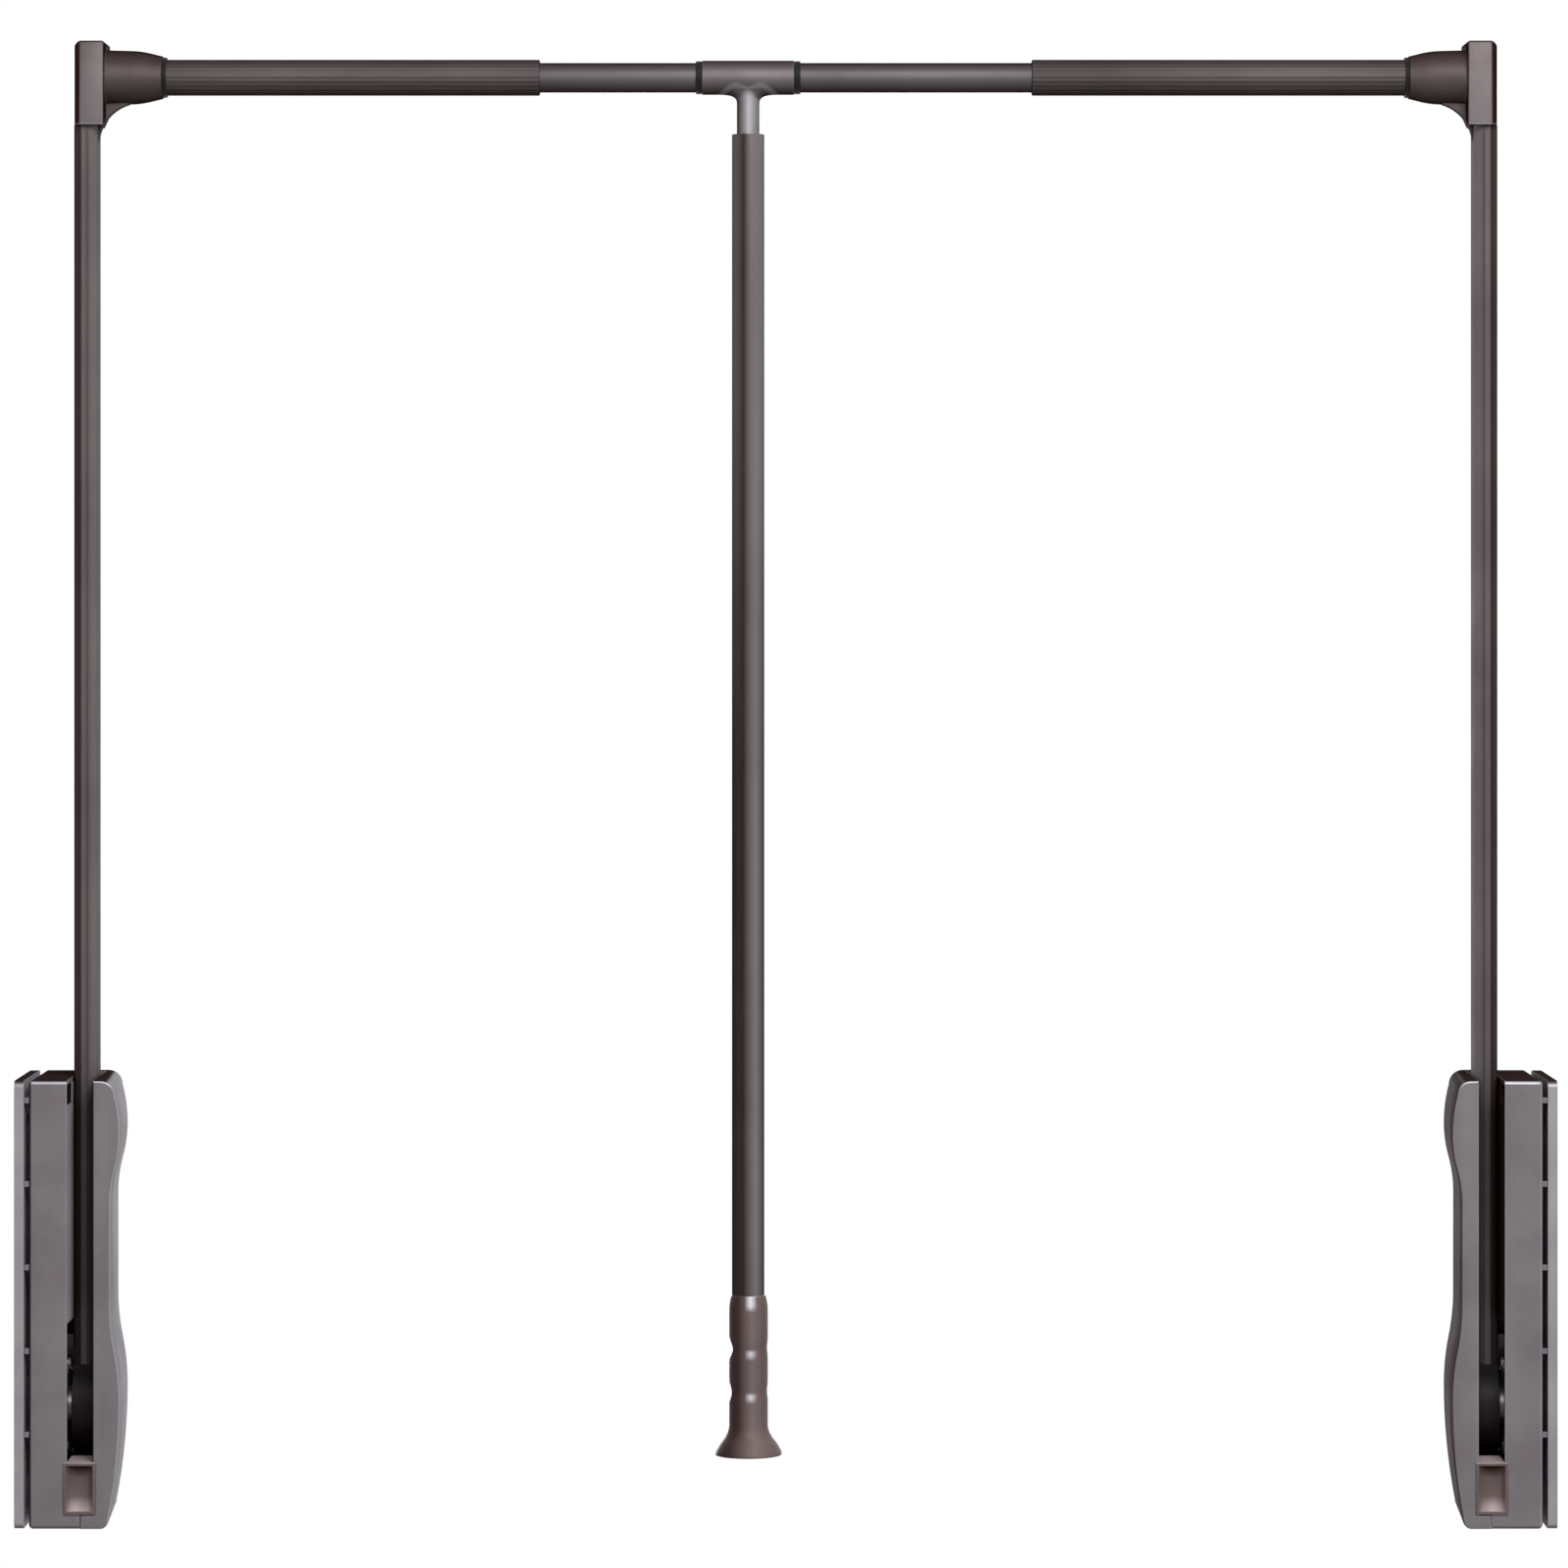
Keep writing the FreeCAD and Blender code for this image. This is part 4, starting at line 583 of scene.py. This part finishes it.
PULL_FOOT_TONES = ((-1.0, 0.2), (-0.3, 0.1), (0.5, 0.8), (1.0, 0.5))
STOP_TONES = ((-1.0, 0.0), (-0.5, 0.0), (-0.3, 0.6), (0.2, 0.6), (0.6, 1.3), (1.0, 1.3))
GRIP_TONES = ((-1.0, 0.2), (-0.5, 0.2), (0.2, 0.8), (1.0, 0.6))
# The chassis is a dark casting; these near-black levels also paint the shade inside the slot.
CHANNEL_TONES = ((-1.0, 0.0), (0.0, 0.02), (1.0, 0.05))

# In these paints, sides= paints one side lit and the other shaded, recess= paints shade into
# recesses, and the lightened edges are partly wear and partly a painted highlight.
CASE_PAINT = metallic_paint("case_paint", CASE_TONES, rough=0.44, edge_wear_and_highlight=0.5, recess=0.3,
                            sides=("X", 0.25, 1.3), matt_top=True)
PLATE_PAINT = metallic_paint("plate_paint", PLATE_TONES, rough=0.46, edge_wear_and_highlight=0.3, recess=0.1,
                             sides=("X", 0.8, 1.8), matt_top=True)
# The chassis walls that look along +X get a painted light strip, and the knuckle in the slot
# takes the same near-black painted shade, with recess shade on top.
CHANNEL_PAINT = metallic_paint("channel_paint", CHANNEL_TONES, rough=0.5,
                               sides=("X", 0.05, 2.0))
KNUCKLE_PAINT = metallic_paint("knuckle_paint", CHANNEL_TONES, rough=0.5, recess=0.9,
                               tint=(0.8, 1.5, 1.9))
ARM_PAINT = metallic_paint("arm_paint", ARM_TONES, axis="out", rough=0.5, grain=500.0,
                           mottle=20.0, stretch=(1, 1, 0.05), recess=0.85)
ROD_PAINT = metallic_paint("rod_paint", ROD_TONES, tint=(0.93, 1.0, 1.02), **BAR_GRAIN)
TUBE_PAINT = metallic_paint("tube_paint", TUBE_TONES, tint=(0.95, 1.0, 1.03), **BAR_GRAIN)
TEE_PAINT = metallic_paint("tee_paint", TEE_TONES, rough=0.5, edge_wear_and_highlight=0.2,
                           below=(NECK_TONES, *NECK_FADE))
BOX_PAINT = metallic_paint("bracket_paint", BOX_TONES, rough=0.42, metal=0.4, edge_wear_and_highlight=0.6,
                           sides=("out", 0.05, 0.0, 0.7, 0.08, 0.6))
SOCKET_PAINT = metallic_paint("socket_paint", SOCKET_TONES, rough=0.5)
PULL_PAINT = metallic_paint("pull_paint", PULL_TONES, axis="X", rough=0.42, metal=0.4,
                            grain=500.0, mottle=9.0, stretch=(1, 1, 0.05),
                            below=(PULL_FOOT_TONES, *PULL_FADE))
STOP_PAINT = metallic_paint("stop_paint", STOP_TONES, rough=0.5, metal=0.15, edge_wear_and_highlight=0.6,
                            recess=0.9, reach=3 * MM, sides=("X", 0.1, 0.6, 0.35, 0.35),
                            tint=(1.15, 0.98, 0.92))
GEAR_STEEL = machined_steel("gear_steel", srgb(150, 147, 145), 0.36, (0.05, 1, 1))
BRIGHT_STEEL = machined_steel("bright_steel", srgb(196, 196, 198), 0.22, (1, 1, 0.05))
BLACK_PAINT = moulded("black_paint", srgb(30, 29, 30), 0.38, 700.0, 0.5)
BUSH_PLASTIC = moulded("bush_plastic", srgb(58, 56, 54), 0.45)
BLACK_TRIM = moulded("black_trim", srgb(20, 17, 16), 0.6, gloss=0.15)
STOP_RUBBER = moulded("stop_rubber", srgb(26, 25, 25), 0.72, 600.0, 0.25, 0.08 * MM)
GRIP_PLASTIC = metallic_paint("grip_plastic", GRIP_TONES, axis="X", rough=0.26, metal=0.0,
                              grain=900.0, mottle=30.0, tint=(1.04, 0.86, 0.8), gloss=0.12,
                              glints=(0.15, 2.5, GRIP_FOOT))


# ---------------------------------------------------------------- arm and bracket
def build_arm_tube(node):
    """The oval tube with a narrow groove down its front and its back."""
    low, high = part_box(node)
    middle = (low.x + high.x) / 2
    half_width = (high.x - low.x) / 2
    flat = high.y - half_width
    lip = math.degrees(math.asin(GROOVE_WIDTH / 2 / half_width))
    corners = []
    for centre, turn in ((-flat, 180), (flat, 0)):
        floor = abs(high.y) - GROOVE_DEPTH
        side = -1 if turn == 180 else 1
        sweep = arc((middle, centre), half_width, turn, turn + 90 - lip)
        corners += [(p.x, p.y, 0) for p in sweep[:-1]]
        start, finish = middle + side * GROOVE_WIDTH / 2, middle - side * GROOVE_WIDTH / 2
        rim = sweep[-1].y
        edge = GROOVE_DEPTH / 3
        corners += [(start, rim, edge), (start, side * floor, edge),
                    (finish, side * floor, edge), (finish, rim, edge)]
        rest = arc((middle, centre), half_width, turn + 90 + lip, turn + 180)
        corners += [(p.x, p.y, 0) for p in rest[1:]]
    bm = bmesh.new()
    add_prism(bm, soft_path(corners, steps=3), "z", low.z, high.z, 0)
    return new_piece(node, bm, 50.0)


def build_corner_bracket(node):
    """The cast corner: rounded box, tapering socket and concave gusset."""
    low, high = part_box(node)
    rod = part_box("left_outer_rod")
    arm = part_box("left_arm_tube")
    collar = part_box("left_rod_collar")
    inner_face = low.x + BRACKET_WIDTH
    bm = bmesh.new()
    add_cast_box(bm, Vector((low.x, low.y, arm[HIGH].z)), Vector((inner_face, high.y, high.z)))
    cut_relief(bm, inner_face, arm[HIGH].z)
    in_box = set(bm.faces)
    mouth = collar[LOW].x
    lip = (rod[HIGH].z - rod[LOW].z) / 2 + SOCKET_WALL
    root = lip + SOCKET_TAPER
    outer = root + SOCKET_BLEND
    start = inner_face + SOCKET_BLEND
    buried = inner_face - 1 * MM
    profile = [Vector((buried, ON_AXIS)), Vector((buried, outer))]
    profile += arc((start, outer), SOCKET_BLEND, 180, 270, 8)
    profile += soft_path(((start, root, 0),
                          (mouth - SOCKET_NOSE, root - 0.5 * MM, 7 * MM),
                          (mouth - 0.8 * MM, lip + 0.1 * MM, 0.8 * MM), (mouth, lip, 0.5 * MM),
                          (mouth, ON_AXIS, 0)), closed=False, steps=12)[1:]
    add_lathe(bm, profile, "x", Vector((0, 0, BAR_HEIGHT)))
    foot = Vector((arm[HIGH].x - 0.1 * MM, BAR_HEIGHT - GUSSET_DROP))
    tip = Vector((inner_face + GUSSET_REACH, BAR_HEIGHT - root + 0.3 * MM))
    gusset = [Vector((foot.x, BAR_HEIGHT))] + concave(foot, tip, GUSSET_RADIUS)
    gusset += [Vector((tip.x, BAR_HEIGHT))]
    add_prism(bm, gusset, "y", -HALF_GUSSET, HALF_GUSSET, 0.8 * MM)
    for face in bm.faces:
        face.material_index = 0 if face in in_box else 1
    return new_piece(node, bm, 40.0)


def add_cast_box(bm, low, high):
    """The box over the arm: well rounded on its outer side, crisp on the inner."""
    size = high - low
    made = bmesh.ops.create_cube(bm, size=1.0)["verts"]
    bmesh.ops.scale(bm, vec=size, verts=made)
    bmesh.ops.translate(bm, vec=(low + high) / 2, verts=made)
    for width, steps, chosen in ((BRACKET_CORNER, 8, is_outer), (BRACKET_BEVEL, 3, is_sharp)):
        edges = [item for item in bm.edges if chosen(item, low, high)]
        bmesh.ops.bevel(bm, geom=edges, offset=width, segments=steps, profile=0.5,
                        affect="EDGES")


def cut_relief(bm, side, foot):
    """Takes the box's inner foot corner away behind the gusset."""
    start = Vector((side - RELIEF_WIDTH, HALF_GUSSET, foot))
    finish = Vector((side, HALF_GUSSET, foot + RELIEF_HEIGHT))
    everything = list(bm.verts) + list(bm.edges) + list(bm.faces)
    bmesh.ops.bisect_plane(bm, geom=everything, dist=SAME_PLACE, plane_co=start,
                           plane_no=(0, 1, 0))
    back = [face for face in bm.faces if face.calc_center_median().y > HALF_GUSSET]
    parts = set(back) | {item for face in back for item in (*face.verts, *face.edges)}
    slope = Vector((RELIEF_HEIGHT, 0, -RELIEF_WIDTH)).normalized()
    bmesh.ops.bisect_plane(bm, geom=list(parts), dist=SAME_PLACE, plane_co=start,
                           plane_no=slope, clear_outer=True)
    corners = [min(bm.verts, key=lambda vert: (vert.co - place).length)
               for place in (start, finish)]
    bmesh.ops.contextual_create(bm, geom=corners)
    rims = [item for item in bm.edges if len(item.link_faces) < 2]
    bmesh.ops.edgenet_fill(bm, edges=rims)


def is_outer(edge, low, high):
    """The box's upright outer edges and the outer edge of its top."""
    first, second = (vert.co for vert in edge.verts)
    on_side = abs(first.x - low.x) < SOFT_EDGE and abs(second.x - low.x) < SOFT_EDGE
    at_foot = abs(first.z - low.z) < SOFT_EDGE and abs(second.z - low.z) < SOFT_EDGE
    return on_side and not at_foot


def is_sharp(edge, low, high):
    """The box's sharp edges, apart from those of its foot."""
    at_foot = all(abs(vert.co.z - low.z) < SOFT_EDGE for vert in edge.verts)
    return not at_foot and edge.calc_face_angle(0.0) > math.radians(40)


def concave(start, finish, radius, steps=20):
    """Points of an arc that bends up into the corner between two points."""
    chord = finish - start
    middle = (start + finish) / 2
    reach = math.sqrt(radius ** 2 - (chord.length / 2) ** 2)
    across = Vector((chord.y, -chord.x)).normalized()
    centre = middle + across * reach
    first = math.atan2(start.y - centre.y, start.x - centre.x)
    last = math.atan2(finish.y - centre.y, finish.x - centre.x)
    if last > first:
        last -= 2 * math.pi
    return arc(centre, radius, math.degrees(first), math.degrees(last), steps)


def build_rod_collar(node):
    """The black ring at the socket's mouth."""
    low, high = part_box(node)
    bm = bmesh.new()
    profile = tube_profile(low.x, high.x, (high.z - low.z) / 2, COLLAR_BORE, 0.7 * MM)
    add_lathe(bm, profile, "x", Vector((0, 0, BAR_HEIGHT)), closed=True)
    return new_piece(node, bm)


# -------------------------------------------------------------------- hanging bar
def build_outer_rod(node):
    """The outer rod: fluted from its collar to a turned-in open end."""
    low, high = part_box(node)
    radius = (high.z - low.z) / 2
    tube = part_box("centre_inner_tube")
    bore = (tube[HIGH].z - tube[LOW].z) / 2 + TUBE_PLAY
    plain_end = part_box(node.replace("outer_rod", "rod_collar"))[HIGH].x
    sections = ((low.x, radius, 0), (plain_end, radius, 0),
                (plain_end + 1.2 * MM, radius, 1), (high.x - ROD_LIP, radius, 1),
                (high.x - ROD_LIP / 3, radius - ROD_LIP / 3, 0.5),
                (high.x, radius - ROD_LIP, 0),
                (high.x, bore, 0), (high.x - ROD_MOUTH, bore, 0))
    rings = []
    for along, level, depth in sections:
        ring = []
        for step in range(FLUTES * FLUTE_STEPS):
            phase = (step % FLUTE_STEPS) / FLUTE_STEPS
            cut = math.cos(math.pi * (phase - 0.5) / FLUTE_SHARE)
            cut = max(cut, 0.0) if abs(phase - 0.5) < FLUTE_SHARE / 2 else 0.0
            reach = level - FLUTE_DEPTH * depth * cut
            angle = 2 * math.pi * step / (FLUTES * FLUTE_STEPS)
            ring.append(Vector((along, reach * math.cos(angle),
                                BAR_HEIGHT + reach * math.sin(angle))))
        rings.append(ring)
    bm = bmesh.new()
    rings_to_mesh(bm, rings, caps=False)
    return new_piece(node, bm, 30.0)


def build_inner_tube(node):
    """The plain tube that slides in both outer rods."""
    low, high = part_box(node)
    radius = (high.z - low.z) / 2
    bm = bmesh.new()
    profile = tube_profile(low.x, high.x, radius, radius - TUBE_WALL)
    add_lathe(bm, profile, "x", Vector((0, 0, BAR_HEIGHT)), closed=True)
    return new_piece(node, bm)


def build_tee_rings(node):
    """The two black rings beside the tee."""
    low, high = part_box(node)
    radius = (high.z - low.z) / 2
    bm = bmesh.new()
    for start in (low.x, high.x - TEE_RING_LENGTH):
        profile = tube_profile(start, start + TEE_RING_LENGTH, radius, TEE_RING_BORE, 0.8 * MM)
        add_lathe(bm, profile, "x", Vector((0, 0, BAR_HEIGHT)), closed=True)
    return new_piece(node, bm)


# ----------------------------------------------------------- tee, pull rod, grip
def neck_curve(angle, barrel, steps=14):
    """One line of the neck, from its foot up to where it runs into the barrel."""
    along, around = math.cos(angle), math.sin(angle)
    reach = NECK_RADIUS + NECK_SPREAD * along ** 2 + NECK_CHEEK * around ** 2
    foot = -math.sqrt(barrel ** 2 - (NECK_RADIUS * around) ** 2) - NECK_RISE
    top = -math.sqrt(barrel ** 2 - (reach * around) ** 2)
    slope = reach * around ** 2 / -top
    start = Vector((NECK_RADIUS * along, NECK_RADIUS * around, foot))
    finish = Vector((reach * along, reach * around, top))
    first = start + Vector((0, 0, NECK_RISE * 0.8))
    pull = (reach - NECK_RADIUS) * 0.7
    second = finish - Vector((along, around, slope)).normalized() * pull
    points = [Vector((NECK_RADIUS * along, NECK_RADIUS * around, -NECK_LOW - 0.5 * MM))]
    for step in range(steps + 1):
        t = step / steps
        points.append(start * (1 - t) ** 3 + first * 3 * t * (1 - t) ** 2
                      + second * 3 * t ** 2 * (1 - t) + finish * t ** 3)
    return points


def build_tee(node):
    """The sleeve on the bar with its neck, and the tenon that goes into the pull rod."""
    low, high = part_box(node)
    barrel = high.z - BAR_HEIGHT
    origin = Vector((PULL_PLACE, 0, BAR_HEIGHT))
    half = (high.x - low.x) / 2
    bm = bmesh.new()
    add_lathe(bm, tube_profile(-half, half, barrel, TEE_BORE, 0.8 * MM), "x", origin,
              closed=True)
    segments = 96
    lines = [neck_curve(2 * math.pi * step / segments, barrel) for step in range(segments)]
    rings = [[origin + line[level] for line in lines] for level in range(len(lines[0]))]
    rings_to_mesh(bm, rings, caps=False)
    tip = low.z - BAR_HEIGHT
    tenon = soft_path(((tip, ON_AXIS, 0), (tip, TENON_RADIUS, 0.6 * MM),
                       (-NECK_LOW, TENON_RADIUS, 0.4 * MM), (-NECK_LOW, ON_AXIS, 0)),
                      closed=False)
    add_lathe(bm, tenon, "z", origin)
    return new_piece(node, bm, 40.0)


def build_pull_rod(node):
    """The plain tube between the tee and the grip."""
    low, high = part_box(node)
    radius = (high.x - low.x) / 2
    bm = bmesh.new()
    profile = tube_profile(low.z, high.z, radius, radius - PULL_WALL, 0.5 * MM)
    add_lathe(bm, profile, "z", Vector((PULL_PLACE, 0, 0)), closed=True)
    return new_piece(node, bm)


def build_grip(node):
    """The moulded grip: two finger notches on one side and a flared foot."""
    low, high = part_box(node)
    foot = (high.x - low.x) / 2
    body, seat = GRIP_RADIUS, PULL_RADIUS + 0.05 * MM
    spread = foot - body
    flare = [(low.z + FOOT_HEIGHT * rise, body + spread * share, 3 * MM)
             for rise, share in FOOT_CURVE]
    taper = high.z - GRIP_TAPER_LENGTH
    profile = soft_path(((low.z, ON_AXIS, 0), (low.z, foot, FOOT_EDGE),
                         (low.z + 2 * FOOT_EDGE, foot, FOOT_EDGE), *flare,
                         (low.z + FOOT_HEIGHT, body, 4 * MM), (taper, body, 0)),
                        closed=False)
    last = profile.pop()
    start = profile[-1]
    profile += [start.lerp(last, step / GRIP_STEPS) for step in range(1, GRIP_STEPS + 1)]
    for step in range(1, 12):
        t = step / 12
        profile.append(Vector((taper + GRIP_TAPER_LENGTH * t, body - GRIP_TAPER * t ** 2)))
    crown = profile[-1].y
    profile += soft_path(((profile[-1].x, crown, 0), (high.z, crown - 0.3 * MM, 0.4 * MM),
                          (high.z, seat, 0.2 * MM), (high.z - 3 * MM, seat, 0)),
                         closed=False)[1:]
    bm = bmesh.new()
    add_lathe(bm, profile, "z", Vector((PULL_PLACE, 0, 0)), segments=160)
    for vert in bm.verts:
        for drop, depth in NOTCHES:
            off = abs(vert.co.z - (high.z - drop)) / NOTCH_REACH
            if off < 1:
                wave = (0.5 + 0.5 * math.cos(math.pi * off)) ** NOTCH_SHARPNESS
                shrink = 1 - WAVE_DEPTH * wave ** WAVE_SHARPNESS / body
                vert.co.x = PULL_PLACE + (vert.co.x - PULL_PLACE) * shrink
                vert.co.y *= shrink
                vert.co.x = max(vert.co.x, PULL_PLACE - body + depth * wave)
    return new_piece(node, bm, 40.0)


# ---------------------------------------------------------------- the whole object
PIECES = (
    (with_broken_edges(), "wall_plate", "housing", "plate_casting", PLATE_PAINT),
    (with_broken_edges(CASE_FRONT), "outer_case", "housing", "case_shell", CASE_PAINT),
    (with_broken_edges(CASE_FRONT), "inner_case", "housing", "case_shell", CASE_PAINT),
    (with_broken_edges(), "chassis", "housing", "dark_casting", CHANNEL_PAINT),
    (build_stop_block, "stop_block", "housing", "stop_rubber", STOP_PAINT),
    (with_broken_edges(), "arm_knuckle", "arm", "dark_casting", KNUCKLE_PAINT),
    (build_arm_tube, "arm_tube", "arm", "bronze_tube", ARM_PAINT),
    (build_corner_bracket, "corner_bracket", "arm", "bronze_casting", BOX_PAINT,
     SOCKET_PAINT),
    (build_rod_collar, "rod_collar", "arm", "black_trim", BLACK_TRIM),
    (build_outer_rod, "outer_rod", "arm", "bronze_tube", ROD_PAINT),
)
CENTRE_PIECES = (
    (build_inner_tube, "centre_inner_tube", "centre_tube", "bronze_tube", TUBE_PAINT),
    (build_tee_rings, "tee_rings", "centre_tube", "black_trim", BLACK_TRIM),
    (build_tee, "tee", "pull_handle", "bronze_casting", TEE_PAINT),
    (build_pull_rod, "pull_rod", "pull_handle", "bronze_tube", PULL_PAINT),
    (build_grip, "grip", "pull_handle", "grip_plastic", GRIP_PLASTIC),
)
KEPT_NODES = {
    "case_screws": BRIGHT_STEEL, "rest_buffer": STOP_RUBBER, "swing_axle": BRIGHT_STEEL,
    "thrust_washer": BUSH_PLASTIC, "gas_cylinder": BLACK_PAINT,
    "gas_piston_rod": BRIGHT_STEEL, "rack": GEAR_STEEL, "drive_gear": GEAR_STEEL,
    "gear_dowels": BRIGHT_STEEL, "pivot_bush": BUSH_PLASTIC, "arm_screws": BRIGHT_STEEL,
    "tee_screw": BRIGHT_STEEL,
}

for piece in PIECES:
    both_sides(*piece)
for piece in CENTRE_PIECES:
    one_piece(*piece)
for name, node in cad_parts.items():
    kind = name.split("_", 1)[1] if name.split("_")[0] in ("left", "right") else name
    if kind in KEPT_NODES:
        node.data.materials.clear()
        node.data.materials.append(KEPT_NODES[kind])


# ------------------------------------------------------------------ stage and light
VIEW_OFFSET = -1 * MM            # picture's middle from the middle of the width
VIEW_HEIGHT = 0.2917
CENTRE = Vector((WIDTH / 2 + VIEW_OFFSET, 0, VIEW_HEIGHT))
CAMERA_AWAY = 3.54
CAMERA_RISE = 0.117              # above the middle of the picture
VIEW_WIDTH = 0.8917              # of the picture, at the hanging bar
FLOOR_HEIGHT = -1.25
FLOOR_RADIUS = 4.0
FLOOR_GLOW = 0.65                # for the camera, a gloss or glass alone
WORLD_FILL = 0.12
KEY_LAMP = ((0.95, -2.3, 2.1), (1.9, 1.3), 88)      # place, size, watts
BACK_LAMP = ((-0.3, 2.7, 0.15), (2.2, 1.6), 55)


def seen_directly(nodes, links):
    """1 for what the camera, a gloss or glass sees, and 0 for the light on things."""
    path = nodes.new("ShaderNodeLightPath")
    seen = path.outputs["Is Camera Ray"]
    for name in ("Is Glossy Ray", "Is Transmission Ray"):
        most = nodes.new("ShaderNodeMath")
        most.operation = "MAXIMUM"
        links.new(seen, most.inputs[0])
        links.new(path.outputs[name], most.inputs[1])
        seen = most.outputs[0]
    return seen


def add_floor():
    """A pale floor well below the object."""
    bm = bmesh.new()
    bmesh.ops.create_circle(bm, cap_ends=True, segments=96, radius=FLOOR_RADIUS)
    floor = new_piece("floor", bm)
    floor.location = (CENTRE.x, 0, FLOOR_HEIGHT)
    paint = Paint("floor_paint")
    speck = paint.noise(40.0, 4.0)
    tone = paint.mix(paint.ramp(speck, 0.3, 0.7, 0.0, 1.0), (0.82, 0.82, 0.82, 1),
                     (0.86, 0.86, 0.86, 1))
    paint.links.new(tone, paint.shader.inputs["Base Color"])
    paint.links.new(tone, paint.shader.inputs["Emission Color"])
    seen = seen_directly(paint.nodes, paint.links)
    paint.links.new(paint.ramp(seen, 0.0, 1.0, 0.0, FLOOR_GLOW),
                    paint.shader.inputs["Emission Strength"])
    floor.data.materials.append(paint.set(Roughness=0.9, Specular_IOR_Level=0.1))


def add_lamp(name, place, size, energy):
    """A white panel lamp turned to the middle of the object."""
    lamp = bpy.data.lights.new(name, "AREA")
    lamp.shape = "RECTANGLE"
    lamp.size, lamp.size_y = size
    lamp.energy = energy
    item = bpy.data.objects.new(name, lamp)
    item.location = place
    item.rotation_euler = (CENTRE - Vector(place)).to_track_quat("-Z", "Y").to_euler()
    bpy.context.scene.collection.objects.link(item)


def add_world():
    """White where the camera, a gloss or glass sees it, and a low fill elsewhere."""
    world = bpy.data.worlds.new("studio")
    world.use_nodes = True
    nodes, links = world.node_tree.nodes, world.node_tree.links
    nodes.clear()
    seen = seen_directly(nodes, links)
    fill = nodes.new("ShaderNodeBackground")
    fill.inputs["Strength"].default_value = WORLD_FILL
    white = nodes.new("ShaderNodeBackground")
    mix = nodes.new("ShaderNodeMixShader")
    for node in (fill, white):
        node.inputs["Color"].default_value = (1, 1, 1, 1)
    links.new(seen, mix.inputs["Fac"])
    links.new(fill.outputs[0], mix.inputs[1])
    links.new(white.outputs[0], mix.inputs[2])
    output = nodes.new("ShaderNodeOutputWorld")
    links.new(mix.outputs[0], output.inputs["Surface"])
    bpy.context.scene.world = world


def add_camera():
    """A level camera, with the picture shifted down to the object."""
    camera = bpy.data.cameras.new("camera")
    camera.sensor_width = 36
    camera.lens = camera.sensor_width * CAMERA_AWAY / VIEW_WIDTH
    camera.shift_y = -CAMERA_RISE / VIEW_WIDTH
    item = bpy.data.objects.new("camera", camera)
    item.location = (CENTRE.x, -CAMERA_AWAY, CENTRE.z + CAMERA_RISE)
    item.rotation_euler = (math.pi / 2, 0, 0)
    bpy.context.scene.collection.objects.link(item)
    bpy.context.scene.camera = item


add_floor()
add_lamp("key", *KEY_LAMP)
add_lamp("back", *BACK_LAMP)
add_world()
add_camera()
bpy.context.scene.view_settings.view_transform = "Standard"
